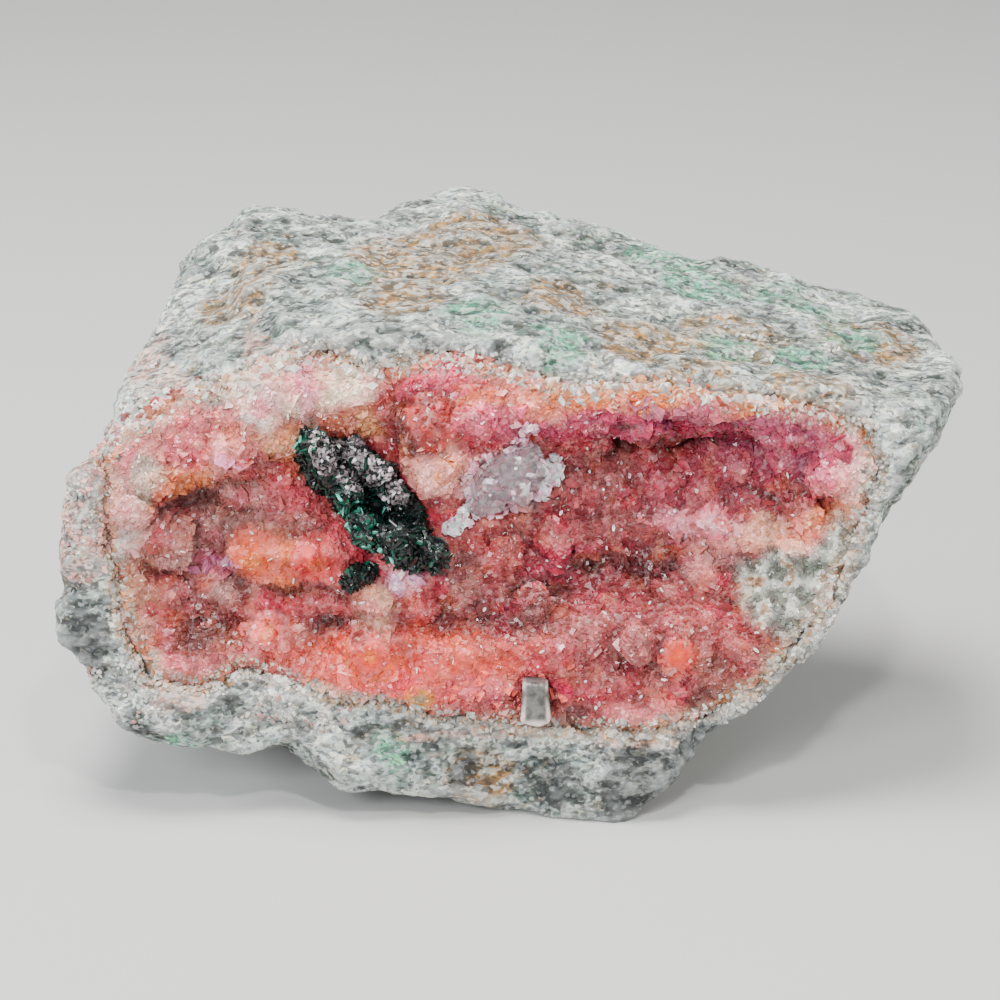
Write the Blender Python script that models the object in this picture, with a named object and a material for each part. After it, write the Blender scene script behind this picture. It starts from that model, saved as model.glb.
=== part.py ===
"""A hand specimen of pink cobaltoan dolomite in its grey host rock.

The host rock is a broken, wedge-shaped lump. Its front face leans back and holds a shallow hollow,
which a crust of pink dolomite crystals lines. Dark green malachite prisms, clear colourless crystals
and one grey cleaved block sit on the crust. +X is to the right, +Y away from the viewer, +Z up, and
the origin is under the middle of the stone, on the surface that it rests on.
"""

import math
import random

import bmesh
import bpy
from mathutils import Matrix, Vector, noise

MM = 0.001

# Driving dimensions, in millimetres. The shapes below are laid out from a point on the ground under
# the front face, and the whole stone is then moved so that its middle comes over the origin.
MIDDLE_X = 1.1
MIDDLE_Y = 6.6
BLOCK_HALF_WIDTH = 45.0
BLOCK_TOP = 45.0
BLOCK_BOTTOM = -6.0
FRONT_FOOT_Y = -16.0  # the front face meets the ground here
FRONT_LEAN = 0.27  # the front face goes back this much for each millimetre of height
EDGE_WEAR = 1.2
ROCK_VOXEL = 1.1
ROCK_TRIANGLES = 2300

CRUST_THICKNESS = 1.6
FIT_GAP = 0.35
CRUST_CELL = 2.2
GROUP_CELL = 1.6
CRYSTAL_SPACING = 4.0
CRYSTAL_EDGE = (1.5, 2.5)
CUTTER_REACH = 12.0  # how far in front of the lump the hollow's cutter begins
CRUST_LUMPS = (0.55, 3.4)  # height and width of the crust's small lumps
CRYSTAL_SINK = 0.3  # share of a crystal's edge that lies below the crust
CRYSTAL_LEAN = (0.5, 1.2)  # radians between a crystal's three-fold axis and the crust's normal
CLEAR_LEAN = 0.8
FOOTING_SINK = 0.4  # how far each group of crystals sits into the crust
GROUP_TRIM = 4.0  # the reach, round and below a group, of the cut that ends its crystals there
ROOT_SLACK = 0.1  # how far a crystal's root may stand out of the crust's back
GREY_BLOCK_PROUD = 1.9
GREY_BLOCK_SINK = 0.5
RHOMB_TILT = math.radians(63.7)  # angle between a rhomb's edges and its three-fold axis

# Broken faces of the lump: a point on each, and the way it faces
BROKEN_FACES = {
    "top_right": ((0.0, 0.0, 38.4), (0.165, -0.045, 1.0)),
    "top_left": ((-6.0, 0.0, 38.9), (-0.02, -0.045, 1.0)),
    "front": ((0.0, FRONT_FOOT_Y, 0.0), (0.0, -1.0, FRONT_LEAN)),
    "left_shoulder": ((-16.0, -5.6, 38.4), (-0.456, -0.153, 1.0)),
    "left": ((-35.6, -11.7, 16.0), (-1.0, 0.13, 0.19)),
    "left_low": ((-31.0, -13.9, 7.6), (-0.836, 0.0, -0.549)),
    "underside_left": ((-8.2, -15.0, 2.4), (-0.228, -0.12, -1.0)),
    "back_left": ((-21.5, 25.0, 38.0), (-0.196, 0.98, -0.06)),
    "back_right": ((17.8, 22.4, 36.4), (0.31, 0.95, 0.1)),
    "back_left_corner": ((-26.0, 22.0, 37.0), (-0.75, 0.66, 0.05)),
    "back_low": ((0.0, 22.0, 5.0), (0.1, 0.75, -0.66)),
    "back_left_low": ((-22.0, 14.0, 9.0), (-0.62, 0.45, -0.64)),
    "right_upper": ((34.3, -7.8, 30.2), (1.0, -0.3, -0.49)),
    "right_lower": ((28.0, -11.5, 16.8), (0.74, -0.12, -0.68)),
    "right_foot": ((18.6, -14.2, 6.0), (0.57, -0.08, -0.82)),
    "right_tip": ((39.0, 8.0, 30.0), (1.0, 0.15, 0.25)),
    "back_right_low": ((24.0, 14.0, 16.0), (0.6, 0.6, -0.52)),
}

# Roughness of the lump's skin: height and width of its bumps
SKIN_ROUGHNESS = ((1.1, 11.0), (0.55, 4.5), (0.3, 2.2))

# Chips and swellings on the lump: a point, a radius and how far the skin moves out
SKIN_FEATURES = (
    ((-14.0, 27.0, 40.0), 8.0, -1.6),
    ((-4.0, 29.0, 40.0), 7.0, 0.3),
    ((-32.0, -6.0, 30.5), 4.5, -1.3),
    ((-34.5, -9.0, 24.5), 9.0, 1.7),
    ((-36.0, -12.0, 15.5), 6.0, 0.2),
    ((-17.2, -14.9, 4.6), 3.2, -2.2),
    ((-21.5, -14.9, 4.0), 3.0, 0.9),
    ((-27.0, -14.5, 6.5), 6.0, 1.0),
    ((-12.5, -15.2, 2.6), 3.5, 0.8),
    ((-2.4, -6.0, 38.2), 5.0, -0.8),
    ((6.0, -6.6, 35.8), 5.0, -1.0),
    ((24.0, 20.0, 22.0), 11.0, -2.0),
    ((-12.0, 28.0, 20.0), 12.0, -2.2),
    ((12.0, 26.0, 12.0), 9.0, 1.5),
    ((35.0, 4.0, 27.0), 6.0, -0.8),
)

# Edge of the crust on the front face, as x and z
CRUST_OUTLINE = (
    (-29.8, 31.0), (-25.4, 33.6), (-20.6, 35.0), (-16.6, 37.0), (-13.4, 36.4), (-10.6, 35.2),
    (-7.6, 36.2), (-3.0, 36.4), (1.6, 35.2), (5.6, 33.9), (11.0, 34.3), (17.7, 33.5),
    (24.6, 32.6), (29.6, 31.0), (30.6, 28.6), (29.6, 25.0), (28.6, 22.0), (26.8, 17.4),
    (24.2, 14.0), (20.6, 10.6), (17.0, 8.2), (11.4, 7.0), (6.0, 7.4), (1.6, 7.6),
    (-3.4, 8.6), (-9.8, 9.8), (-15.6, 10.4), (-20.8, 12.2), (-24.2, 10.6), (-28.2, 11.2),
    (-30.4, 15.0), (-31.4, 20.4), (-32.4, 25.6), (-31.8, 29.0),
)

# Hollows of the front face: x, z, reach along x, reach along z, depth, steepness of the wall
HOLLOWS = {
    "right_basin": (13.0, 23.6, 17.5, 9.6, 4.6, 1.9),
    "ledge_recess": (17.0, 29.4, 13.0, 2.6, 1.9, 2.2),
    "left_cavity": (-22.5, 20.6, 9.4, 8.4, 3.8, 1.9),
    "malachite_pocket": (-11.0, 26.0, 6.4, 5.6, 2.2, 1.8),
    "crevice": (5.6, 17.9, 6.0, 1.5, 1.7, 1.6),
    "low_left": (-16.0, 14.4, 4.6, 2.6, 1.2, 1.6),
    "low_right": (14.0, 11.8, 8.0, 3.4, 0.9, 1.5),
    "below_crest": (21.0, 16.6, 5.0, 1.8, 1.6, 1.6),
}

# Swellings of the crust: x, z, reach along x, reach along z, height, steepness of the side
SWELLINGS = {
    "ledge_lip": (13.0, 32.6, 20.0, 2.2, 1.4, 2.0),
    "upper_left_knob": (-18.6, 32.6, 5.6, 4.2, 2.0, 1.8),
    "upper_middle_knob": (-12.0, 33.6, 4.0, 3.4, 1.6, 1.8),
    "rosette": (-5.3, 28.8, 4.0, 4.0, 2.4, 1.8),
    "left_boulder": (-18.4, 20.4, 4.6, 3.0, 2.3, 1.7),
    "left_ridge": (-26.4, 21.2, 3.4, 2.2, 1.7, 1.7),
    "saddle": (-7.4, 19.6, 4.6, 4.8, 1.0, 1.5),
    "coral_shelf": (-4.4, 12.2, 13.0, 3.0, 1.7, 2.0),
    "basin_floor_swell": (6.0, 22.6, 5.0, 3.4, 1.1, 1.4),
    "right_crest": (22.6, 22.8, 6.8, 2.0, 2.6, 1.8),
    "right_patch": (23.4, 19.4, 3.8, 2.8, 0.9, 1.6),
    "lower_right_swell": (13.6, 14.4, 6.4, 3.0, 1.0, 1.5),
}

# Large crystals with a place of their own: x, z, edge, turn in degrees
NAMED_CRYSTALS = (
    (8.6, 31.4, 3.2, 20.0),
    (11.4, 31.0, 2.6, 75.0),
    (14.0, 29.8, 2.8, 130.0),
    (19.4, 26.8, 2.0, 15.0),
    (16.4, 24.0, 2.6, 60.0),
    (-27.0, 21.4, 2.8, 35.0),
    (-21.8, 29.6, 2.6, 100.0),
    (-3.3, 10.4, 3.0, 10.0),
    (5.4, 10.6, 2.4, 50.0),
    (-14.2, 18.4, 2.2, 80.0),
    (22.4, 24.4, 2.4, 25.0),
)

# Ground of each piece that stands on the crust: x, z, reach along x, reach along z, turn in degrees
MALACHITE_BASE = (-10.9, 25.7, 7.0, 2.5, -42.0)
SPRIG_BASE = (-11.4, 19.6, 1.5, 0.8, 35.0)
CLEAR_BASE = (0.6, 27.0, 2.9, 1.9, 35.0)
GREY_BLOCK = (2.9, 10.0, 2.5, 3.6)  # x, z, width, height

# Malachite prisms: share of the base's two reaches, length, width, turn in degrees, lean
MALACHITE_PRISMS = (
    (-0.95, 0.1, 3.2, 2.5, -60.0, 0.25),
    (-0.62, -0.55, 3.2, 2.8, -30.0, 0.3),
    (-0.45, 0.6, 2.8, 2.8, -80.0, 0.2),
    (-0.1, -0.6, 4.0, 3.2, -50.0, 0.35),
    (0.02, 0.65, 3.0, 2.8, -20.0, 0.2),
    (0.35, -0.85, 4.0, 3.2, -55.0, 0.4),
    (0.5, 0.5, 3.2, 2.8, -40.0, 0.25),
    (0.72, -0.4, 3.6, 2.8, -25.0, 0.3),
    (0.98, 0.1, 3.0, 2.4, -45.0, 0.2),
)
SPRIG_PRISMS = (
    (-0.5, 0.0, 1.8, 1.1, 10.0, 0.3),
    (0.1, 0.2, 2.0, 1.3, 50.0, 0.2),
    (0.6, -0.1, 1.6, 1.0, 80.0, 0.3),
)

# Clear rhombs: share of the base's two reaches, edge, turn in degrees
CLEAR_RHOMBS = (
    (-0.7, 0.05, 2.3, 20.0),
    (-0.25, -0.35, 2.6, 65.0),
    (0.12, 0.5, 2.2, 110.0),
    (0.42, -0.15, 2.5, 30.0),
    (0.82, 0.2, 1.8, 80.0),
)

FINISHES = {
    "host_rock": ((0.42, 0.44, 0.40), 0.85),
    "pink_dolomite": ((0.72, 0.26, 0.27), 0.35),
    "malachite": ((0.01, 0.10, 0.07), 0.3),
    "clear_crystal": ((0.86, 0.82, 0.80), 0.15),
    "grey_crystal": ((0.42, 0.42, 0.41), 0.3),
}


def material(name):
    colour, roughness = FINISHES[name]
    made = bpy.data.materials.new(name)
    made.use_nodes = True
    shader = made.node_tree.nodes["Principled BSDF"]
    shader.inputs["Base Color"].default_value = (*colour, 1.0)
    shader.inputs["Roughness"].default_value = roughness
    shader.inputs["Metallic"].default_value = 0.0
    return made


def object_from(bm, name, finish=None):
    """A new object that holds the bmesh, in the scene."""
    mesh = bpy.data.meshes.new(name)
    bm.to_mesh(mesh)
    bm.free()
    made = bpy.data.objects.new(name, mesh)
    made.parent = bpy.data.objects["stone_middle"]
    bpy.context.scene.collection.objects.link(made)
    if finish:
        mesh.materials.append(finish)
    return made


def apply_modifiers(obj):
    graph = bpy.context.evaluated_depsgraph_get()
    mesh = bpy.data.meshes.new_from_object(obj.evaluated_get(graph))
    obj.modifiers.clear()
    obj.data = mesh


def helper(obj):
    """Keeps a cutter or an operand out of the model."""
    obj.hide_render = True
    obj.display_type = "WIRE"
    return obj


def combine(obj, other, operation, with_itself=False):
    step = obj.modifiers.new(operation.lower(), "BOOLEAN")
    step.operation = operation
    step.solver = "EXACT"
    step.use_self = with_itself
    step.object = helper(other)


def smooth_step(value):
    value = min(max(value, 0.0), 1.0)
    return value * value * (3.0 - 2.0 * value)


def bump(x, z, shape):
    centre_x, centre_z, reach_x, reach_z, height, steepness = shape
    out = math.hypot((x - centre_x) / reach_x, (z - centre_z) / reach_z)
    return height * smooth_step((1.0 - out) * steepness)


def front_y(z):
    return FRONT_FOOT_Y + FRONT_LEAN * z


def hollow_depth(x, z):
    return sum(bump(x, z, shape) for shape in HOLLOWS.values())


def crust_height(x, z):
    """How far the crust's face stands out of the lump's plain front face."""
    swell = sum(bump(x, z, shape) for shape in SWELLINGS.values())
    height, width = CRUST_LUMPS
    lumps = height * noise.noise(Vector((x / width, z / width, 1.2)))
    return swell + lumps - hollow_depth(x, z)


def crust_point(x, z, lift=0.0):
    return Vector((x, front_y(z) - crust_height(x, z) - lift, z))


def crust_normal(x, z, step=0.6):
    """The way the crust faces, out of the stone."""
    along_x = crust_point(x + step, z) - crust_point(x - step, z)
    along_z = crust_point(x, z + step) - crust_point(x, z - step)
    return along_x.cross(along_z).normalized()


def inside(x, z, outline):
    """Whether a point lies inside an outline, and how far it is from the outline's edge."""
    within = False
    nearest = math.inf
    for first, second in zip(outline, outline[1:] + outline[:1]):
        (x1, z1), (x2, z2) = first, second
        if (z1 > z) != (z2 > z) and x < x1 + (z - z1) * (x2 - x1) / (z2 - z1):
            within = not within
        edge = Vector((x2 - x1, z2 - z1))
        share = (Vector((x - x1, z - z1)).dot(edge)) / edge.length_squared
        foot = Vector((x1, z1)) + edge * min(max(share, 0.0), 1.0)
        nearest = min(nearest, (Vector((x, z)) - foot).length)
    return within, nearest


def grown(outline, by):
    """The outline with each corner moved out by about that distance."""
    moved = []
    for i, (x, z) in enumerate(outline):
        before = Vector(outline[i - 1])
        after = Vector(outline[(i + 1) % len(outline)])
        along = (after - before).normalized()
        moved.append((x - along.y * by, z + along.x * by))
    return tuple(moved)


def oval(base, corners=14):
    centre_x, centre_z, reach_x, reach_z, turn = base
    turn = math.radians(turn)
    points = []
    for i in range(corners):
        angle = -math.tau * i / corners
        u, v = reach_x * math.cos(angle), reach_z * math.sin(angle)
        points.append(
            (
                centre_x + u * math.cos(turn) - v * math.sin(turn),
                centre_z + u * math.sin(turn) + v * math.cos(turn),
            )
        )
    return tuple(points)


def slab(outline, cell, front, back):
    """A closed slab over an outline of the front face. front and back give y from x and z."""
    bm = bmesh.new()
    bm.faces.new([bm.verts.new((x, 0.0, z)) for x, z in outline])
    for axis in (0, 2):
        values = [v.co[axis] for v in bm.verts]
        line = math.ceil(min(values) / cell) * cell
        while line < max(values):
            point, normal = Vector(), Vector()
            point[axis], normal[axis] = line, 1.0
            parts = bm.verts[:] + bm.edges[:] + bm.faces[:]
            bmesh.ops.bisect_plane(bm, geom=parts, plane_co=point, plane_no=normal, dist=0.02)
            line += cell
    near = bm.verts[:]
    grew = bmesh.ops.extrude_face_region(bm, geom=bm.faces[:], use_keep_orig=True)
    far = [part for part in grew["geom"] if isinstance(part, bmesh.types.BMVert)]
    for vert in near:
        vert.co.y = front(vert.co.x, vert.co.z)
    for vert in far:
        vert.co.y = back(vert.co.x, vert.co.z)
    bmesh.ops.triangulate(bm, faces=bm.faces, quad_method="SHORT_EDGE")
    bmesh.ops.recalc_face_normals(bm, faces=bm.faces)
    bmesh.ops.scale(bm, vec=(MM, MM, MM), verts=bm.verts)
    return bm


def rough_block():
    """The lump's broken faces, cut one by one from a plain block."""
    bm = bmesh.new()
    bmesh.ops.create_cube(bm, size=2.0)
    height = BLOCK_TOP - BLOCK_BOTTOM
    reach = Vector((BLOCK_HALF_WIDTH, BLOCK_HALF_WIDTH, height / 2))
    bmesh.ops.scale(bm, vec=reach, verts=bm.verts)
    bmesh.ops.translate(bm, vec=(0.0, 0.0, BLOCK_BOTTOM + height / 2), verts=bm.verts)
    for point, normal in BROKEN_FACES.values():
        parts = bm.verts[:] + bm.edges[:] + bm.faces[:]
        cut = bmesh.ops.bisect_plane(
            bm, geom=parts, plane_co=point, plane_no=normal, clear_outer=True
        )
        edges = [part for part in cut["geom_cut"] if isinstance(part, bmesh.types.BMEdge)]
        bmesh.ops.contextual_create(bm, geom=edges)
    return bm


def skin_offset(point):
    """How far weathering and breakage move the lump's skin at a point, in millimetres."""
    offset = sum(height * noise.noise(point / width) for height, width in SKIN_ROUGHNESS)
    for centre, radius, height in SKIN_FEATURES:
        away = (point - Vector(centre)).length / radius
        offset += height * smooth_step((1.0 - away) * 1.4)
    return offset


def host_rock():
    """The lump: broken faces with worn edges and a rough skin, a flat foot and the hollow."""
    rock = object_from(rough_block(), "host_rock", material("host_rock"))
    wear = rock.modifiers.new("worn_edges", "BEVEL")
    wear.width = EDGE_WEAR
    wear.segments = 2
    even = rock.modifiers.new("even_mesh", "REMESH")
    even.mode = "VOXEL"
    even.voxel_size = ROCK_VOXEL
    apply_modifiers(rock)

    bm = bmesh.new()
    bm.from_mesh(rock.data)
    bm.normal_update()
    for vert in bm.verts:
        vert.co += vert.normal * skin_offset(vert.co)
    bm.to_mesh(rock.data)
    bm.free()
    coarse = rock.modifiers.new("coarser_mesh", "DECIMATE")
    coarse.ratio = ROCK_TRIANGLES / (2 * len(rock.data.polygons))
    apply_modifiers(rock)

    bm = bmesh.new()
    bm.from_mesh(rock.data)
    parts = bm.verts[:] + bm.edges[:] + bm.faces[:]
    cut = bmesh.ops.bisect_plane(
        bm, geom=parts, plane_co=(0.0, 0.0, 0.0), plane_no=(0.0, 0.0, -1.0), clear_outer=True
    )
    edges = [part for part in cut["geom_cut"] if isinstance(part, bmesh.types.BMEdge)]
    bmesh.ops.contextual_create(bm, geom=edges)
    bmesh.ops.triangulate(bm, faces=bm.faces)
    bmesh.ops.scale(bm, vec=(MM, MM, MM), verts=bm.verts)
    bm.to_mesh(rock.data)
    bm.free()

    cutter = slab(
        grown(CRUST_OUTLINE, FIT_GAP),
        CRUST_CELL,
        lambda x, z: FRONT_FOOT_Y - CUTTER_REACH,
        lambda x, z: front_y(z) + hollow_depth(x, z) + CRUST_THICKNESS + FIT_GAP,
    )
    combine(rock, object_from(cutter, "hollow_cutter"), "DIFFERENCE")


def rhomb(bm, centre, edge, axis, turn):
    """A rhombohedron of that edge, with its three-fold axis along axis."""
    rise, out = math.cos(RHOMB_TILT), math.sin(RHOMB_TILT)
    sides = [
        (out * math.cos(math.tau * k / 3), out * math.sin(math.tau * k / 3), rise)
        for k in range(3)
    ]
    shape = (Matrix(sides).transposed() * edge).to_4x4()
    stand = Vector((0.0, 0.0, 1.0)).rotation_difference(axis).to_matrix().to_4x4()
    place = Matrix.Translation(centre) @ stand @ Matrix.Rotation(turn, 4, "Z") @ shape
    bmesh.ops.create_cube(bm, size=1.0, matrix=place)


def leaning(normal, angle, turn):
    """The normal tipped over by that angle, in the direction given by turn."""
    side = normal.orthogonal().normalized()
    side.rotate(Matrix.Rotation(turn, 3, normal))
    return Matrix.Rotation(angle, 3, side) @ normal


def crystal_places(rng):
    """Jittered rows of crystals over the crust, clear of its edge and of what stands on it."""
    kept_clear = [oval(base) for base in (MALACHITE_BASE, SPRIG_BASE, CLEAR_BASE)]
    block_x, block_z, block_width, block_height = GREY_BLOCK
    kept_clear.append(oval((block_x, block_z, block_width, block_height, 0.0)))
    xs = [x for x, _ in CRUST_OUTLINE]
    zs = [z for _, z in CRUST_OUTLINE]
    places = [(x, z, edge, math.radians(turn)) for x, z, edge, turn in NAMED_CRYSTALS]
    row = 0
    z = min(zs)
    while z < max(zs):
        x = min(xs) + CRYSTAL_SPACING / 2 * (row % 2)
        while x < max(xs):
            at_x = x + rng.uniform(-0.3, 0.3) * CRYSTAL_SPACING
            at_z = z + rng.uniform(-0.3, 0.3) * CRYSTAL_SPACING
            places.append((at_x, at_z, rng.uniform(*CRYSTAL_EDGE), rng.uniform(0.0, math.tau)))
            x += CRYSTAL_SPACING
        z += CRYSTAL_SPACING * 0.87
        row += 1
    chosen = []
    for x, z, edge, turn in places:
        within, margin = inside(x, z, CRUST_OUTLINE)
        blocked = any(
            inside(x, z, ground)[0] or inside(x, z, ground)[1] < edge + 0.6
            for ground in kept_clear
        )
        crowded = any(
            math.hypot(x - other[0], z - other[1]) < 0.45 * (edge + other[2])
            for other in chosen
        )
        if within and margin > edge and not blocked and not crowded:
            chosen.append((x, z, edge, turn))
    return chosen


def dolomite_crust():
    """The pink crust that lines the hollow, with its larger crystals grown together with it."""
    rng = random.Random(12)
    layer = slab(
        CRUST_OUTLINE,
        CRUST_CELL,
        lambda x, z: crust_point(x, z).y,
        lambda x, z: front_y(z) + hollow_depth(x, z) + CRUST_THICKNESS,
    )
    crust = object_from(layer, "dolomite_crust", material("pink_dolomite"))
    bm = bmesh.new()
    for x, z, edge, turn in crystal_places(rng):
        axis = leaning(crust_normal(x, z), rng.uniform(*CRYSTAL_LEAN), turn)
        rhomb(bm, crust_point(x, z, (0.5 - CRYSTAL_SINK) * edge), edge, axis, turn)
    bmesh.ops.scale(bm, vec=(MM, MM, MM), verts=bm.verts)
    combine(crust, object_from(bm, "crust_crystals"), "UNION", with_itself=True)
    behind = slab(
        grown(CRUST_OUTLINE, GROUP_TRIM),
        CRUST_CELL,
        lambda x, z: front_y(z) + hollow_depth(x, z) + CRUST_THICKNESS + ROOT_SLACK,
        lambda x, z: front_y(z) + hollow_depth(x, z) + CRUST_THICKNESS + GROUP_TRIM,
    )
    combine(crust, object_from(behind, "crust_trim"), "DIFFERENCE")
    return crust


def on_base(base, share_u, share_v):
    """A place on a piece's ground, given as shares of its two reaches."""
    centre_x, centre_z, reach_x, reach_z, turn = base
    turn = math.radians(turn)
    u, v = share_u * reach_x, share_v * reach_z
    return (
        centre_x + u * math.cos(turn) - v * math.sin(turn),
        centre_z + u * math.sin(turn) + v * math.cos(turn),
    )


def footing(base, thickness, room):
    """The slab that a group of crystals grows from. room makes it larger all round, as a cutter."""
    return slab(
        grown(oval(base), room),
        GROUP_CELL,
        lambda x, z: crust_point(x, z, thickness + room).y,
        lambda x, z: crust_point(x, z, -FOOTING_SINK - room).y,
    )


def malachite_prisms(base, prisms, thickness, room):
    bm = bmesh.new()
    for share_u, share_v, length, width, turn, lean in prisms:
        x, z = on_base(base, share_u, share_v)
        axis = leaning(crust_normal(x, z), lean, math.radians(turn))
        stand = Vector((0.0, 0.0, 1.0)).rotation_difference(axis).to_matrix().to_4x4()
        low = crust_point(x, z, thickness * 0.4)
        shape = Matrix.Rotation(math.radians(turn), 4, "Z") @ Matrix.Diagonal((1.0, 0.7, 1.0, 1.0))
        bmesh.ops.create_cone(
            bm,
            cap_ends=True,
            segments=6,
            radius1=width * 0.62 + room,
            radius2=width * 0.44 + room,
            depth=length + 2 * room,
            matrix=Matrix.Translation(low + axis * length * 0.5) @ stand @ shape,
        )
    bmesh.ops.scale(bm, vec=(MM, MM, MM), verts=bm.verts)
    return bm


def clear_rhombs(base, rhombs, thickness, room):
    bm = bmesh.new()
    for share_u, share_v, edge, turn in rhombs:
        x, z = on_base(base, share_u, share_v)
        axis = leaning(crust_normal(x, z), CLEAR_LEAN, math.radians(turn))
        rhomb(bm, crust_point(x, z, thickness * 0.7), edge + 2.4 * room, axis, turn)
    bmesh.ops.scale(bm, vec=(MM, MM, MM), verts=bm.verts)
    return bm


def group_on_crust(name, finish, crust, crystals, base, shapes, thickness):
    """Crystals grown together on one footing, and the seat that they leave in the crust."""
    group = object_from(footing(base, thickness, 0.0), name, finish)
    combine(group, object_from(crystals(base, shapes, thickness, 0.0), name + "_grown"), "UNION", True)
    below = slab(
        grown(oval(base), GROUP_TRIM),
        GROUP_CELL,
        lambda x, z: crust_point(x, z, -FOOTING_SINK).y,
        lambda x, z: crust_point(x, z, -FOOTING_SINK - GROUP_TRIM).y,
    )
    combine(group, object_from(below, name + "_trim"), "DIFFERENCE")
    seats = (footing(base, thickness, FIT_GAP), crystals(base, shapes, thickness, FIT_GAP))
    for i, seat in enumerate(seats):
        combine(crust, object_from(seat, f"{name}_seat_{i}"), "DIFFERENCE", True)


def grey_block(room):
    """A cleaved block as a bmesh. room makes it larger all round, as a cutter."""
    x, z, width, height = GREY_BLOCK
    outline = (
        (x - width * 0.5, z - height * 0.42),
        (x - width * 0.42, z + height * 0.5),
        (x + width * 0.4, z + height * 0.44),
        (x + width * 0.5, z - height * 0.4),
        (x + width * 0.1, z - height * 0.5),
    )
    outline = grown(outline, room)
    middle = crust_point(x, z)
    bm = bmesh.new()
    layers = [
        [bm.verts.new((px, front_y(pz) + middle.y - front_y(z) + out, pz)) for px, pz in outline]
        for out in (-GREY_BLOCK_PROUD - room, GREY_BLOCK_SINK + room)
    ]
    for layer in layers:
        bm.faces.new(layer)
    for i, vert in enumerate(layers[0]):
        j = (i + 1) % len(outline)
        bm.faces.new((vert, layers[0][j], layers[1][j], layers[1][i]))
    if not room:
        bmesh.ops.bevel(bm, geom=bm.edges[:], offset=0.2, segments=1, affect="EDGES")
    bmesh.ops.recalc_face_normals(bm, faces=bm.faces)
    bmesh.ops.triangulate(bm, faces=bm.faces)
    bmesh.ops.scale(bm, vec=(MM, MM, MM), verts=bm.verts)
    return bm


def main():
    for obj in list(bpy.data.objects):
        bpy.data.objects.remove(obj)
    middle = bpy.data.objects.new("stone_middle", None)
    middle.location = (-MIDDLE_X * MM, -MIDDLE_Y * MM, 0.0)
    bpy.context.scene.collection.objects.link(middle)
    green = material("malachite")
    clear = material("clear_crystal")
    host_rock()
    crust = dolomite_crust()
    group_on_crust(
        "malachite_cluster", green, crust, malachite_prisms, MALACHITE_BASE, MALACHITE_PRISMS, 1.3
    )
    group_on_crust(
        "malachite_sprig", green, crust, malachite_prisms, SPRIG_BASE, SPRIG_PRISMS, 0.7
    )
    group_on_crust(
        "clear_crystals", clear, crust, clear_rhombs, CLEAR_BASE, CLEAR_RHOMBS, 1.0
    )
    object_from(grey_block(0.0), "grey_crystal", material("grey_crystal"))
    combine(crust, object_from(grey_block(FIT_GAP), "grey_crystal_seat"), "DIFFERENCE")


main()
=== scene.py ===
import math

import bpy
import numpy as np
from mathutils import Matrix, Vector, noise


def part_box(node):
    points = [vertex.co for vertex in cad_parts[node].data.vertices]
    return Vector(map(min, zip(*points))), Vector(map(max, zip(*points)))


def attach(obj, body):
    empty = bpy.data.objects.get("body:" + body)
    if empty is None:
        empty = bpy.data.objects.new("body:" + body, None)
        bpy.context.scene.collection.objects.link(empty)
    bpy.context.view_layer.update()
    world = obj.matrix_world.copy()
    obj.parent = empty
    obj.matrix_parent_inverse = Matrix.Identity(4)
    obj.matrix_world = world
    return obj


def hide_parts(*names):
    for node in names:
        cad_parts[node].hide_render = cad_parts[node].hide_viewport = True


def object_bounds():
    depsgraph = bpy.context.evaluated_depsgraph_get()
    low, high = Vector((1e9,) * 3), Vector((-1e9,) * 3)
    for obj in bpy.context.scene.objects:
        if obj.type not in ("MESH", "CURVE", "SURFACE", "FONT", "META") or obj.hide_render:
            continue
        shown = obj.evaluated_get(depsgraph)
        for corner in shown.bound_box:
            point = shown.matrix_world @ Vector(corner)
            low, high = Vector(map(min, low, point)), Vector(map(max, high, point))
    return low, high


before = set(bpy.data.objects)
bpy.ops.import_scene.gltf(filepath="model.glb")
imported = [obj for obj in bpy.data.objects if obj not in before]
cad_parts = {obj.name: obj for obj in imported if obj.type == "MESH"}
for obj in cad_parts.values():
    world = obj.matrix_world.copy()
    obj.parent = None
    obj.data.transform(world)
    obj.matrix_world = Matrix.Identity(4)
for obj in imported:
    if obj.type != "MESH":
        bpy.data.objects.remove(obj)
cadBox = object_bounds()

# Lengths in the dictionaries are millimetres in the CAD's own frame, and mm turns them to metres.
# Colours are linear.
mm = 0.001
frontFoot = -22.6  # y where the front face meets the ground
frontLean = 0.27  # how far the front face goes back for each millimetre of height


# Small tools

def deselectAll():
    if bpy.context.object and bpy.context.object.mode != "OBJECT":
        bpy.ops.object.mode_set(mode="OBJECT")
    bpy.ops.object.select_all(action="DESELECT")


def makeActive(piece):
    deselectAll()
    piece.select_set(True)
    bpy.context.view_layer.objects.active = piece


def addToScene(name, mesh):
    piece = bpy.data.objects.new(name, mesh)
    bpy.context.scene.collection.objects.link(piece)
    return piece


def copyOfNode(node, name):
    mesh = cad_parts[node].data.copy()
    mesh.materials.clear()
    piece = addToScene(name, mesh)
    makeActive(piece)
    bpy.ops.object.mode_set(mode="EDIT")
    bpy.ops.mesh.select_all(action="SELECT")
    bpy.ops.mesh.remove_doubles(threshold=0.000001)
    bpy.ops.object.mode_set(mode="OBJECT")
    bpy.ops.mesh.customdata_custom_splitnormals_clear()
    return piece


def applyAll(piece):
    makeActive(piece)
    for step in [m.name for m in piece.modifiers]:
        bpy.ops.object.modifier_apply(modifier=step)


def remesh(piece, voxel, smoothing):
    step = piece.modifiers.new("even", "REMESH")
    step.mode = "VOXEL"
    step.voxel_size = voxel * mm
    soften = piece.modifiers.new("soften", "SMOOTH")
    soften.factor = 0.5
    soften.iterations = smoothing
    applyAll(piece)


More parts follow.
